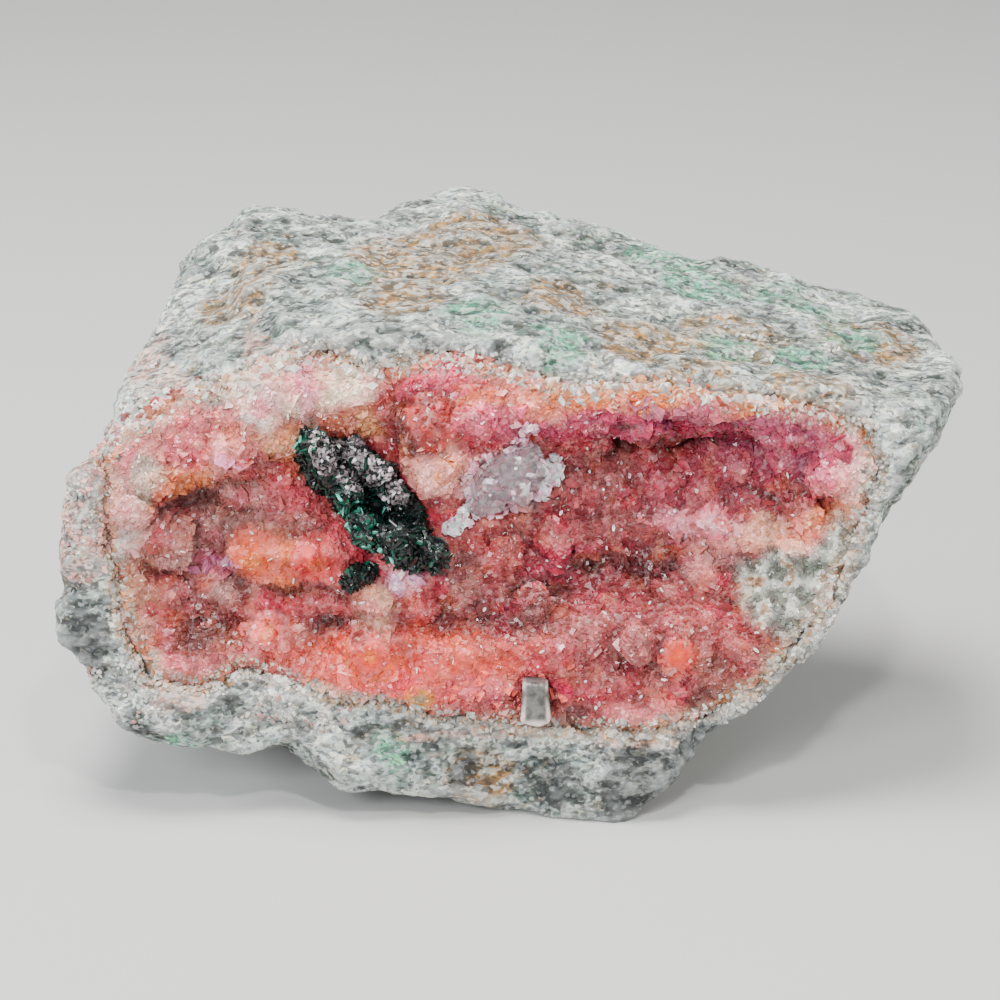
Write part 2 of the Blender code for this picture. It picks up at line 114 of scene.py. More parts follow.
def roughen(piece, pattern, size, height, stretch=(1, 1, 1), group=""):
    # a Displace with one of Blender's own textures, stretched through an empty that is removed
    texture = bpy.data.textures.new(f"{piece.name}_{pattern}_{size}", pattern)
    texture.noise_scale = size * mm
    if pattern == "CLOUDS":
        texture.noise_depth = 2
    bpy.ops.object.empty_add()
    guide = bpy.context.object
    guide.scale = stretch
    bpy.context.view_layer.update()
    step = piece.modifiers.new("rough", "DISPLACE")
    step.texture = texture
    step.texture_coords = "OBJECT"
    step.texture_coords_object = guide
    step.strength = height * mm
    step.mid_level = 0.5
    if group:
        step.vertex_group = group
    applyAll(piece)
    bpy.data.objects.remove(guide)


def pointsOf(piece):
    places = np.empty(len(piece.data.vertices) * 3)
    piece.data.vertices.foreach_get("co", places)
    return places.reshape(-1, 3)


def normalsOf(piece):
    normals = np.empty(len(piece.data.vertices) * 3)
    piece.data.vertices.foreach_get("normal", normals)
    return normals.reshape(-1, 3)


def crestHeights(piece, iterations):
    # how far each vertex stands out of the same surface smoothed, in metres
    soft = addToScene("soft", piece.data.copy())
    step = soft.modifiers.new("soften", "SMOOTH")
    step.factor = 0.5
    step.iterations = iterations
    applyAll(soft)
    heights = ((pointsOf(piece) - pointsOf(soft)) * normalsOf(piece)).sum(axis=1)
    bpy.data.objects.remove(soft)
    return heights


def movePoints(piece, places):
    piece.data.vertices.foreach_set("co", places.ravel())
    piece.data.update()


def weightGroup(piece, name, weights):
    group = piece.vertex_groups.new(name=name)
    steps = np.round(np.clip(weights, 0, 1) * 20).astype(int)
    for step in range(1, 21):
        group.add(np.where(steps == step)[0].tolist(), step / 20, "REPLACE")
    return name


def paint(piece, name, colours):
    layer = piece.data.attributes.new(name, "FLOAT_COLOR", "POINT")
    rows = np.ones((len(colours), 4))
    rows[:, : colours.shape[1]] = colours
    layer.data.foreach_set("color", rows.ravel())


def smoothStep(value):
    value = np.clip(value, 0, 1)
    return value * value * (3 - 2 * value)


def awayFrom(x, z, middleX, middleZ, reachX, reachZ, turn=0.0):
    # how far a place is from the middle of a patch, where 1 is the patch's edge
    turn = math.radians(turn)
    x, z = x - middleX, z - middleZ
    along = x * math.cos(turn) + z * math.sin(turn)
    across = z * math.cos(turn) - x * math.sin(turn)
    return np.hypot(along / reachX, across / reachZ)


def laidOver(tints, colour, share):
    share = share[:, None]
    return tints * (1 - share) + np.array(colour) * share


def colourAlong(value, steps, colours):
    # a colour for each value, read between the colours at the given steps
    return np.stack([np.interp(value, steps, channel) for channel in np.array(colours).T], axis=1)


def noiseAt(places, size, offset=0.0):
    # Blender's own noise at each place, about -1 to 1, for features of that size
    return np.array([noise.noise(Vector(p) / size + Vector((offset, 0, 0))) for p in places])


def dress(piece, material, slot, *replaced):
    piece.data.materials.append(material)
    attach(piece, "root")
    if replaced:
        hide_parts(*replaced)


# Crystal shapes: each is modelled once and copied by the hundred

crystalShapes = {
    "flattening": 0.699,  # turns a cube on its corner into a dolomite rhomb
    "lens": 0.38,  # flatter, as the small curved crystals are
    "largeFlattening": 0.64,
    "saddleTwist": 26.0,  # degrees over the height of a curved crystal
}


def rhombShape(cuts=0, twist=0.0, flattening=crystalShapes["flattening"]):
    deselectAll()
    bpy.ops.mesh.primitive_cube_add(size=1.0)
    shape = bpy.context.object
    bpy.ops.object.mode_set(mode="EDIT")
    if cuts:
        bpy.ops.mesh.subdivide(number_cuts=cuts)
    bpy.ops.mesh.select_all(action="SELECT")
    turns = (("Z", math.radians(45)), ("X", math.atan(math.sqrt(2))))
    for axis, angle in turns:
        bpy.ops.transform.rotate(value=angle, orient_axis=axis, center_override=(0, 0, 0))
    bpy.ops.transform.resize(value=(1, 1, flattening))
    bpy.ops.object.mode_set(mode="OBJECT")
    if twist:
        step = shape.modifiers.new("saddle", "SIMPLE_DEFORM")
        step.deform_method = "TWIST"
        step.deform_axis = "Z"
        step.angle = math.radians(twist)
        applyAll(shape)
    return takeShape(shape)


def bladeShape(sides, taper):
    deselectAll()
    bpy.ops.mesh.primitive_cylinder_add(vertices=sides, radius=0.5, depth=1.0, end_fill_type="TRIFAN")
    shape = bpy.context.object
    top = [v.index for v in shape.data.vertices if v.co.z > 0.4]
    for i in top:
        shape.data.vertices[i].co.x *= taper
        shape.data.vertices[i].co.y *= taper
    peak = [v for v in shape.data.vertices if v.co.z > 0.4 and v.co.xy.length < 0.01]
    for vert in peak:
        vert.co.z += 0.18
    return takeShape(shape)


def takeShape(shape):
    places = pointsOf(shape)
    faces = [tuple(face.vertices) for face in shape.data.polygons]
    bpy.data.objects.remove(shape)
    return places, faces


def grow(name, shape, places, turns, sizes, tints):
    # one joined mesh of every copy; tint is each copy's own colour
    points, faces = shape
    sizes = sizes if sizes.ndim == 2 else np.repeat(sizes[:, None], 3, axis=1)
    copies = np.einsum("nij,nvj->nvi", turns, points[None] * sizes[:, None, :]) + places[:, None]
    count, each = len(places), len(points)
    starts = np.arange(count) * each
    flat = np.concatenate([np.array(face) for face in faces])
    lengths = np.array([len(face) for face in faces])
    corners = (starts[:, None] + flat[None]).ravel()
    totals = np.tile(lengths, count)
    mesh = bpy.data.meshes.new(name)
    mesh.vertices.add(count * each)
    mesh.vertices.foreach_set("co", copies.ravel())
    mesh.loops.add(len(corners))
    mesh.loops.foreach_set("vertex_index", corners.astype(np.int32))
    mesh.polygons.add(len(totals))
    mesh.polygons.foreach_set("loop_start", np.concatenate(([0], np.cumsum(totals)[:-1])).astype(np.int32))
    mesh.update(calc_edges=True)
    mesh.validate()
    mesh.shade_flat()
    piece = addToScene(name, mesh)
    paint(piece, "tint", np.repeat(tints, each, axis=0))
    return piece


def surfaceSamples(piece, count, rng, keep):
    # random places over the faces that keep() lets through, by area, with their normals
    mesh = piece.data
    mesh.calc_loop_triangles()
    corners = np.empty(len(mesh.loop_triangles) * 3, dtype=np.int32)
    mesh.loop_triangles.foreach_get("vertices", corners)
    corners = corners.reshape(-1, 3)
    places, normals = pointsOf(piece), normalsOf(piece)
    middle = places[corners].mean(axis=1)
    facing = normals[corners].mean(axis=1)
    corners = corners[keep(middle / mm, facing)]
    a, b, c = (places[corners[:, i]] for i in range(3))
    areas = np.linalg.norm(np.cross(b - a, c - a), axis=1)
    chosen = rng.choice(len(corners), count, p=areas / areas.sum())
    u, v = rng.random(count), rng.random(count)
    over = u + v > 1
    u[over], v[over] = 1 - u[over], 1 - v[over]
    shares = np.stack([1 - u - v, u, v], axis=1)[:, :, None]
    at = (places[corners[chosen]] * shares).sum(axis=1)
    out = (normals[corners[chosen]] * shares).sum(axis=1)
    return at, out / np.linalg.norm(out, axis=1, keepdims=True)


def spreadOut(places, spacing):
    # keeps places that are at least their spacing from every kept one
    widest = float(np.max(spacing))
    cells, kept = {}, []
    around = [(a, b, c) for a in (-1, 0, 1) for b in (-1, 0, 1) for c in (-1, 0, 1)]
    for i, place in enumerate(places):
        cell = tuple((place // widest).astype(int))
        near = [k for step in around for k in cells.get(tuple(np.add(cell, step)), ())]
        if near and (np.linalg.norm(places[near] - place, axis=1) < spacing[i]).any():
            continue
        kept.append(i)
        cells.setdefault(cell, []).append(i)
    return np.array(kept)


def turnsAround(normals, rng, lean):
    # a frame for each copy: its Z leans away from the normal, with a random turn about it
    count = len(normals)
    other = rng.normal(size=(count, 3))
    side = np.cross(normals, other)
    side /= np.linalg.norm(side, axis=1, keepdims=True)
    angle = rng.uniform(lean[0], lean[1], count)[:, None]
    axis = normals * np.cos(angle) + side * np.sin(angle)
    spin = np.cross(axis, rng.normal(size=(count, 3)))
    spin /= np.linalg.norm(spin, axis=1, keepdims=True)
    third = np.cross(axis, spin)
    return np.stack([spin, third, axis], axis=2)


# Camera, light and floor

view = {
    "place": (-1.1, -266.94, 126.98),
    "down": 22.0,  # degrees below the horizontal
    "lens": 120.5,
    "sensor": 36.0,
}
studio = {
    "sky": (0.90, 0.95, 1.0),
    "skyStrength": 0.34,
    "lamps": {  # place, size, watts, colour; each looks at the stone
        "overhead": ((-70, 20, 420), 200, 3.4, (1.0, 0.99, 0.96)),
        "frontFill": ((-190, -320, 210), 180, 1.75, (0.97, 0.98, 1.0)),
        "rightFill": ((300, -120, 200), 160, 0.9, (1.0, 0.97, 0.92)),
        "leftFill": ((-330, 0, 170), 160, 0.9, (0.96, 0.98, 1.0)),
        "sparkle": ((50, -200, 360), 30, 0.75, (1.0, 0.99, 0.97)),
    },
    "aim": (0, 0, 20),
    "floorSize": 3.0,  # metres
    "floorColour": (0.45, 0.45, 0.445),
}


def addCamera():
    data = bpy.data.cameras.new("photoCamera")
    data.lens = view["lens"]
    data.sensor_width = view["sensor"]
    data.clip_start = 0.01
    camera = addToScene("photoCamera", data)
    camera.location = Vector(view["place"]) * mm
    camera.rotation_euler = (math.radians(90 - view["down"]), 0, 0)
    bpy.context.scene.camera = camera


def addLight():
    world = bpy.data.worlds.new("softSky")
    bpy.context.scene.world = world
    world.use_nodes = True
    sky = world.node_tree.nodes["Background"]
    sky.inputs["Color"].default_value = (*studio["sky"], 1)
    sky.inputs["Strength"].default_value = studio["skyStrength"]
    for name, (place, size, watts, colour) in studio["lamps"].items():
        data = bpy.data.lights.new(name, "AREA")
        data.shape = "DISK"
        data.size = size * mm
        data.energy = watts
        data.color = colour
        lamp = addToScene(name, data)
        lamp.location = Vector(place) * mm
        toStone = (Vector(studio["aim"]) - Vector(place)).normalized()
        lamp.rotation_euler = toStone.to_track_quat("-Z", "Y").to_euler()


def addFloor():
    deselectAll()
    bpy.ops.mesh.primitive_plane_add(size=studio["floorSize"], location=(0, 0, -0.00003))
    floor = bpy.context.object
    floor.name = "floor"
    material = bpy.data.materials.new("paleFloor")
    material.use_nodes = True
    shader = material.node_tree.nodes["Principled BSDF"]
    shader.inputs["Base Color"].default_value = (*studio["floorColour"], 1)
    shader.inputs["Roughness"].default_value = 0.8
    floor.data.materials.append(material)


addCamera()
addLight()
addFloor()
print("camera, light and floor ready")


# Materials

class Graph:
    # a short way to write shader nodes: add() makes one, wire() joins two sockets
    def __init__(self, name):
        self.material = bpy.data.materials.new(name)
        self.material.use_nodes = True
        self.tree = self.material.node_tree
        self.shader = self.tree.nodes["Principled BSDF"]
        self.place = self.add("ShaderNodeTexCoord").outputs["Object"]

    def add(self, kind, **values):
        node = self.tree.nodes.new(kind)
        for key, value in values.items():
            setattr(node, key, value)
        return node

    def wire(self, source, target):
        self.tree.links.new(source, target)

    def fill(self, socket, value):
        if isinstance(value, bpy.types.NodeSocket):
            self.wire(value, socket)
        elif socket.type == "RGBA" and len(value) == 3:
            socket.default_value = (*value, 1)
        else:
            socket.default_value = value

    def stretched(self, scale, turn=(0, 0, 0)):
        mapping = self.add("ShaderNodeMapping")
        mapping.inputs["Scale"].default_value = scale
        mapping.inputs["Rotation"].default_value = [math.radians(a) for a in turn]
        self.wire(self.place, mapping.inputs["Vector"])
        return mapping.outputs["Vector"]

    def wavy(self, at, size, amount):
        # the coordinates pushed about by a noise, so that straight grain bends
        node = self.add("ShaderNodeTexNoise")
        self.wire(at, node.inputs["Vector"])
        node.inputs["Scale"].default_value = 1 / (size * mm)
        push = self.add("ShaderNodeVectorMath", operation="MULTIPLY_ADD")
        self.wire(node.outputs["Color"], push.inputs[0])
        push.inputs[1].default_value = (amount * mm,) * 3
        self.wire(at, push.inputs[2])
        return push.outputs["Vector"]

    def noise(self, size, detail=4, rough=0.55, at=None):
        node = self.add("ShaderNodeTexNoise")
        self.fill(node.inputs["Vector"], at or self.place)
        node.inputs["Scale"].default_value = 1 / (size * mm)
        node.inputs["Detail"].default_value = detail
        node.inputs["Roughness"].default_value = rough
        return node.outputs["Fac"]

    def cells(self, size, at=None, output="Color"):
        node = self.add("ShaderNodeTexVoronoi")
        self.fill(node.inputs["Vector"], at or self.place)
        node.inputs["Scale"].default_value = 1 / (size * mm)
        return node.outputs[output]

    def ramp(self, factor, *stops):
        node = self.add("ShaderNodeValToRGB")
        bar = node.color_ramp
        while len(bar.elements) < len(stops):
            bar.elements.new(0.5)
        for element, (spot, colour) in zip(bar.elements, stops):
            element.position = spot
            element.color = (*colour, 1) if isinstance(colour, tuple) else (colour, colour, colour, 1)
        self.fill(node.inputs["Fac"], factor)
        return node.outputs["Color"]

    def mix(self, factor, first, second, blend="MIX"):
        node = self.add("ShaderNodeMix", data_type="RGBA", blend_type=blend)
        self.fill(node.inputs["Factor"], factor)
        self.fill(node.inputs["A"], first)
        self.fill(node.inputs["B"], second)
        return node.outputs["Result"]

    def layOver(self, colour, share, strength, laid):
        return self.mix(self.math("MULTIPLY", share, strength), colour, laid)

    def math(self, operation, first, second=0.0):
        node = self.add("ShaderNodeMath", operation=operation)
        self.fill(node.inputs[0], first)
        self.fill(node.inputs[1], second)
        return node.outputs[0]

    def attribute(self, name, output="Color"):
        return self.add("ShaderNodeAttribute", attribute_name=name).outputs[output]

    def split(self, colour):
        node = self.add("ShaderNodeSeparateColor")
        self.wire(colour, node.inputs["Color"])
        return [node.outputs[i] for i in range(3)]

    def bump(self, height, depth, strength=1.0, below=None):
        node = self.add("ShaderNodeBump")
        node.inputs["Distance"].default_value = depth * mm
        node.inputs["Strength"].default_value = strength
        self.wire(height, node.inputs["Height"])
        if below:
            self.wire(below, node.inputs["Normal"])
        return node.outputs["Normal"]

    def finish(self, **values):
        for name, value in values.items():
            self.fill(self.shader.inputs[name.replace("_", " ")], value)
        return self.material


rockLooks = {
    "darkGrey": (0.045, 0.052, 0.052),
    "greyGreen": (0.15, 0.215, 0.195),
    "paleGrey": (0.47, 0.57, 0.555),
    "white": (0.84, 0.92, 0.93),
    "blackFleck": (0.022, 0.026, 0.026),
    "whiteFleck": (0.88, 0.93, 0.93),
    "tan": (0.64, 0.34, 0.09),
    "rust": (0.26, 0.13, 0.05),
    "mint": (0.22, 0.80, 0.52),
    "teal": (0.05, 0.32, 0.22),
    "cream": (0.90, 0.94, 0.95),
    "orange": (0.74, 0.33, 0.08),
    "rose": (0.96, 0.52, 0.45),
    "grains": (  # width of a mineral grain, its stretch and turn, shares of white and of black grains
        (0.66, (0.50, 1.0, 1.0), (0, 6, -8), 0.16, 0.18),
        (0.42, (0.50, 1.0, 0.8), (10, -24, 34), 0.20, 0.20),
        (0.24, (0.70, 1.0, 1.0), (0, 30, -52), 0.22, 0.24),
    ),
    "grainTints": ((0.50, 0.58, 0.55), (1.0, 1.0, 1.0), (1.24, 1.16, 0.98)),
    "waviness": 0.6,
    "stainEdge": {  # the noise's size, detail and roughness, and where the stain starts and is full
        "cream": (1.4, 6, 0.7, 0.74, 1.0),
        "tan": (1.5, 6, 0.72, 0.54, 0.74),
        "mint": (2.2, 6, 0.74, 0.80, 0.96),
        "rose": (1.5, 6, 0.74, 0.72, 1.0),
        "orange": (1.1, 5, 0.7, 0.86, 1.1),
        "dark": (1.3, 6, 0.75, 0.82, 1.02),
    },
    "stainStrength": {"cream": 0.8, "tan": 0.95, "mint": 0.9, "rose": 0.85, "orange": 0.8, "dark": 0.88},
    "whiteStrength": 0.45,
    "blackStrength": 0.65,
    "darkOverGrains": 0.6,
    "crestHighlightStrength": 0.35,
    "hollowShadeStrength": 0.65,
}


def stainShare(g, kind, weight, at=None):
    # a stain breaks up along its edge: its weight is added to a noise and cut at a level
    size, detail, rough, start, full = rockLooks["stainEdge"][kind]
    return g.ramp(g.math("ADD", weight, g.noise(size, detail, rough, at)), (start, 0.0), (full, 1.0))


def rockMaterial():
    g = Graph("hostRock")
    looks = rockLooks
    lying = g.stretched((0.5, 1.0, 1.0), (0, 4, -6))
    broad = g.noise(3.6, 7, 0.66, lying)
    colour = g.ramp(broad, (0.36, looks["darkGrey"]), (0.43, looks["greyGreen"]), (0.50, looks["paleGrey"]),
                    (0.58, looks["white"]))
    strength = looks["stainStrength"]
    tan, mint, cream = g.split(g.attribute("stainAndShade"))
    # relief holds the orange edge colour, painted highlight on crests, painted shade in hollow places, and
    # the rose margin
    edge, crest, hollow = g.split(g.attribute("relief"))
    dark, rose = g.attribute("stainAndShade", "Alpha"), g.attribute("relief", "Alpha")
    colour = g.layOver(colour, stainShare(g, "cream", cream), strength["cream"], looks["cream"])
    slanted = g.stretched((0.6, 1.0, 1.0), (0, 12, 30))
    patches = g.ramp(g.noise(2.0, 6, 0.72, slanted), (0.40, 0.20), (0.47, 0.95), (0.58, 1.6))
    colour = g.mix(0.88, colour, patches, "MULTIPLY")
    tanColour = g.mix(g.ramp(g.noise(0.8, 4), (0.4, 0.0), (0.6, 1.0)), looks["rust"], looks["tan"])
    colour = g.layOver(colour, stainShare(g, "tan", tan, lying), strength["tan"], tanColour)
    drawnOut = g.stretched((0.6, 1.0, 1.0), (0, 0, 20))
    mintColour = g.mix(g.ramp(g.noise(0.6, 4), (0.38, 0.0), (0.6, 1.0)), looks["teal"], looks["mint"])
    mintShare = stainShare(g, "mint", g.math("MULTIPLY", mint, 0.62), drawnOut)
    colour = g.layOver(colour, mintShare, strength["mint"], mintColour)
    colour = g.layOver(colour, stainShare(g, "rose", rose), strength["rose"], looks["rose"])
    colour = g.layOver(colour, stainShare(g, "orange", edge), strength["orange"], looks["orange"])
    relief = g.bump(g.noise(1.3, 8, 0.72, lying), 1.3, 1.0)
    # dark spots together with painted shade low on the front and on the right flank
    darkShare = stainShare(g, "dark", dark)
    colour = g.layOver(colour, darkShare, strength["dark"], looks["blackFleck"])
    low, middle, high = looks["grainTints"]
    for size, stretch, turn, whites, blacks in looks["grains"]:
        at = g.wavy(g.stretched(stretch, turn), 1.6, looks["waviness"])
        grain = g.split(g.cells(size, at))
        white, black = (
            g.ramp(grain[i], (1 - share - 0.03, 0.0), (1 - share + 0.03, 1.0))
            for i, share in enumerate((whites, blacks))
        )
        colour = g.layOver(colour, white, looks["whiteStrength"], looks["whiteFleck"])
        colour = g.layOver(colour, black, looks["blackStrength"], looks["blackFleck"])
        colour = g.mix(0.65, colour, g.ramp(grain[2], (0.0, low), (0.5, middle), (1.0, high)), "MULTIPLY")
        relief = g.bump(grain[2], size * 0.4, 0.8, relief)
    colour = g.layOver(colour, darkShare, looks["darkOverGrains"], looks["blackFleck"])
    # painted highlight on crests and painted shade in hollow places
    colour = g.layOver(colour, crest, looks["crestHighlightStrength"], looks["whiteFleck"])
    colour = g.layOver(colour, hollow, looks["hollowShadeStrength"], looks["darkGrey"])
    rough = g.ramp(g.noise(0.5, 3), (0.35, 0.38), (0.65, 0.85))
    return g.finish(Base_Color=colour, Roughness=rough, Normal=relief)


crystalLooks = {
    "roughness": (0.10, 0.36),
    "glow": 0.18,  # share of light that goes into the crystal
    "glowReach": (1.0, 0.26, 0.22),
    "index": 1.52,
    "veil": (0.92, 0.60, 0.55),
}


def crystalMaterial(name, veil=0.12, roughness=crystalLooks["roughness"], glow=crystalLooks["glow"],
                    cloud=(0.6, 0.72, 1.2)):
    g = Graph(name)
    size, darkest, palest = cloud
    cloudy = g.ramp(g.noise(size, 5, 0.65), (0.35, darkest), (0.65, palest))
    colour = g.mix(1.0, g.attribute("tint"), cloudy, "MULTIPLY")
    veins = g.ramp(g.noise(0.3, 3), (0.60, 0.0), (0.74, 1.0))
    colour = g.layOver(colour, veins, veil, crystalLooks["veil"])
    low, high = roughness
    rough = g.ramp(g.noise(0.8, 4), (0.3, low), (0.7, high))
    g.shader.inputs["IOR"].default_value = crystalLooks["index"]
    g.shader.inputs["Subsurface Weight"].default_value = glow
    g.shader.inputs["Subsurface Radius"].default_value = crystalLooks["glowReach"]
    g.shader.inputs["Subsurface Scale"].default_value = 0.7 * mm
    relief = g.bump(g.noise(0.25, 4, 0.6), 0.05, 0.6)
    return g.finish(Base_Color=colour, Roughness=rough, Normal=relief)


# Host rock: a finer skin over the CAD lump, with its stained patches, painted shade and painted highlight

rock = {
    "voxel": 0.40,
    "smoothing": 7,
    "bumps": (  # texture, size, height, stretch
        ("CLOUDS", 5.0, 0.8, (1.5, 1, 1)),
        ("VORONOI", 3.2, 0.8, (1.4, 1, 1)),
        ("CLOUDS", 1.9, 0.7, (1.6, 1, 0.9)),
        ("VORONOI", 1.3, 0.5, (1.6, 1, 1)),
        ("CLOUDS", 0.9, 0.45, (1.4, 1, 1)),
    ),
    "swell": 0.2,
    "wear": (14, 0.22),  # smoothing that crests and hollow places are measured against, and their height; crests get painted highlight and hollow places painted shade
    "keepInside": 0.25,  # how far the skin may stand past the CAD box
    "stainFade": 1.25,  # how quickly a stain fades in from its edge
    "roseFade": 1.6,
}
# Edge of the pink crust on the front face, x and z
crustEdge = (
    (-30.9, 31.0), (-26.5, 33.6), (-21.7, 35.0), (-17.7, 37.0), (-14.5, 36.4), (-11.7, 35.2),
    (-8.7, 36.2), (-4.1, 36.4), (0.5, 35.2), (4.5, 33.9), (9.9, 34.3), (16.6, 33.5),
    (23.5, 32.6), (28.5, 31.0), (29.5, 28.6), (28.5, 25.0), (27.5, 22.0), (25.7, 17.4),
    (23.1, 14.0), (19.5, 10.6), (15.9, 8.2), (10.3, 7.0), (4.9, 7.4), (0.5, 7.6),
    (-4.5, 8.6), (-10.9, 9.8), (-16.7, 10.4), (-21.9, 12.2), (-25.3, 10.6), (-29.3, 11.2),
    (-31.5, 15.0), (-32.5, 20.4), (-33.5, 25.6), (-32.9, 29.0),
)
stainsAndShade = {  # place and reach of each patch, and how strong it is
    "tan": (
        ((-7.9, 4.9, 39.0), 8.5, 0.95), ((-2.8, 10.4, 39.2), 7.0, 0.7), ((-9.3, -4.8, 38.9), 5.0, 0.6),
        ((-21.0, 6.4, 38.5), 4.0, 0.7), ((-23.2, 1.1, 36.9), 5.0, 0.6), ((3.9, -2.5, 38.1), 5.0, 0.5),
        ((10.4, -7.8, 36.0), 5.0, 0.75), ((18.0, -5.0, 35.0), 7.0, 0.5), ((30.1, -0.1, 33.7), 6.0, 0.6),
        ((24.0, -12.5, 33.2), 5.0, 0.8), ((15.0, -12.8, 34.4), 4.0, 0.8), ((20.1, -19.9, 10.5), 4.0, 0.6),
        ((-2.7, -21.3, 3.0), 4.0, 0.5), ((24.0, 10.0, 18.0), 12.0, 0.5), ((-20.0, 22.0, 22.0), 12.0, 0.5),
    ),
    "mint": (
        ((-13.6, 2.1, 39.0), 5.0, 0.75), ((-2.7, -7.8, 38.8), 6.0, 0.7), ((3.4, -10.7, 37.0), 5.0, 0.8),
        ((12.9, 12.1, 36.7), 8.0, 0.8), ((16.1, 6.1, 36.1), 8.5, 0.8), ((23.9, 6.8, 35.0), 8.5, 0.7),
        ((28.4, -0.2, 33.8), 6.0, 0.8), ((17.9, -5.9, 34.9), 6.0, 0.7), ((23.6, -7.0, 34.0), 6.0, 0.75),
        ((28.9, -15.1, 25.2), 3.0, 0.7), ((-10.1, -21.6, 5.4), 3.4, 0.9), ((-26.9, -20.5, 6.1), 3.0, 0.8),
        ((30.0, 12.0, 26.0), 8.0, 0.5), ((-10.0, 24.0, 30.0), 9.0, 0.5),
    ),
    "cream": (
        ((-28.7, 2.3, 34.7), 9.5, 0.8), ((27.0, -13.0, 31.6), 4.5, 0.7), ((-30.5, -10.5, 32.2), 6.5, 0.95),
        ((-6.7, -12.0, 37.9), 4.0, 0.7),
        ((3.7, -12.3, 35.0), 4.5, 0.8), ((8.6, -12.6, 35.4), 4.5, 0.8), ((29.5, -14.9, 30.4), 4.0, 0.75),
        ((-31.2, -20.2, 10.6), 4.0, 0.85), ((-28.3, -21.0, 9.7), 3.6, 0.8), ((-19.9, -20.5, 8.1), 4.5, 0.6),
        ((-15.0, -21.4, 6.2), 5.0, 0.6), ((9.5, -21.6, 5.0), 5.0, 0.55), ((13.6, -20.8, 5.5), 4.0, 0.55),
        ((-34.5, -17.4, 24.4), 4.0, 0.4), ((0.0, -21.0, 6.0), 4.0, 0.4),
    ),
    # dark spots of the rock, and painted shade on the underside near the ground and on the undercut right
    # flank
    "dark": (
        ((-34.8, -19.2, 14.6), 3.6, 0.95), ((-33.1, -18.2, 17.7), 3.5, 0.35),
        ((-24.0, -19.8, 9.6), 2.6, 0.45),
        ((3.8, -21.6, 3.0), 5.0, 0.5), ((-1.1, -12.0, 36.9), 1.8, 0.8), ((15.0, -12.9, 34.3), 1.8, 0.6),
        ((30.0, -10.0, 22.0), 8.0, 0.35), ((-33.0, -19.0, 12.0), 2.4, 0.5), ((-4.0, -21.6, 4.0), 3.6, 0.42),
        ((10.0, -21.0, 2.6), 6.0, 0.85), ((15.4, -19.0, 4.0), 6.0, 0.85), ((-12.4, -20.8, 7.6), 1.6, 0.45),
        ((-20.0, -20.0, 34.5), 3.0, 0.3), ((-24.6, -14.0, 33.8), 2.2, 0.5), ((26.0, -15.0, 33.0), 2.4, 0.4),
    ),
}
roseMargin = (  # x, z, reach along x and z, strength: where the rock outside the crust turns pinkish
    (-35.2, 25.4, 4.4, 8.4, 1.0), (-29.0, 33.2, 6.0, 1.6, 0.5), (-19.5, 36.4, 4.0, 1.4, 0.6),
    (-27.0, 10.0, 3.4, 1.6, 0.6), (-3.0, 6.9, 10.0, 0.8, 0.5), (10.0, 6.2, 6.0, 0.8, 0.5),
)
rimBand = {"cream": 3.4, "creamStrength": 0.75, "orange": 1.7}  # how far each reaches from the crust's edge


def edgeDistance(places):
    # distance of each place, in millimetres, to the crust's edge as it lies on the front face
    x, z = np.array(crustEdge).T
    line = np.stack([x, frontFoot + frontLean * z, z], axis=1)
    best = np.full(len(places), np.inf)
    for first, second in zip(line, np.roll(line, -1, axis=0)):
        along = second - first
        share = np.clip((places - first) @ along / (along @ along), 0, 1)
        gap = np.linalg.norm(places - first - share[:, None] * along, axis=1)
        best = np.minimum(best, gap)
    return best


def insideEdge(x, z):
    edge = np.array(crustEdge)
    inside = np.zeros(len(x), dtype=bool)
    for (x1, z1), (x2, z2) in zip(edge, np.roll(edge, -1, axis=0)):
        crosses = (z1 > z) != (z2 > z)
        slope = (x2 - x1) / (z2 - z1) if z1 != z2 else 0.0
        inside ^= crosses & (x < x1 + (z - z1) * slope)
    return inside


recess = {
    "cell": 0.5,  # side of a square of the grid that the depths are averaged over
    "grid": (170, 90),  # squares along x and z
    "left": -42,  # x where the grid starts
    "reach": 3,  # squares on each side that count as the surroundings
    "deep": 0.6,  # depth that is as dark as it gets
    # painted shade in recesses and painted highlight on crests, as shares
    "dark": 0.42,
    "bright": 0.16,
}


def recessShade(piece):
    # painted shade: how dark a place is in its recess, and painted highlight: how bright on a crest;
    # its depth behind the front plane is set against the mean of what surrounds it
    def cellsOf(places):
        column = (places[:, 0] - recess["left"]) / recess["cell"]
        row = places[:, 2] / recess["cell"]
        return column.astype(int), row.astype(int)

    def depthOf(places):
        return places[:, 1] - frontFoot - frontLean * places[:, 2]

    places = pointsOf(piece)[normalsOf(piece)[:, 1] < 0.3] / mm
    total, count = np.zeros(recess["grid"]), np.zeros(recess["grid"])
    np.add.at(total, cellsOf(places), depthOf(places))
    np.add.at(count, cellsOf(places), 1)
    steps = range(-recess["reach"], recess["reach"] + 1)
    total = sum(np.roll(total, (i, j), (0, 1)) for i in steps for j in steps)
    count = sum(np.roll(count, (i, j), (0, 1)) for i in steps for j in steps)
    level = total / np.maximum(count, 1)

    def shade(places):
        column, row = cellsOf(places)
        around = level[column, np.clip(row, 0, recess["grid"][1] - 1)]
        low = (depthOf(places) - around) / recess["deep"]
        return 1 - recess["dark"] * smoothStep(low) + recess["bright"] * smoothStep(-low)

    return shade


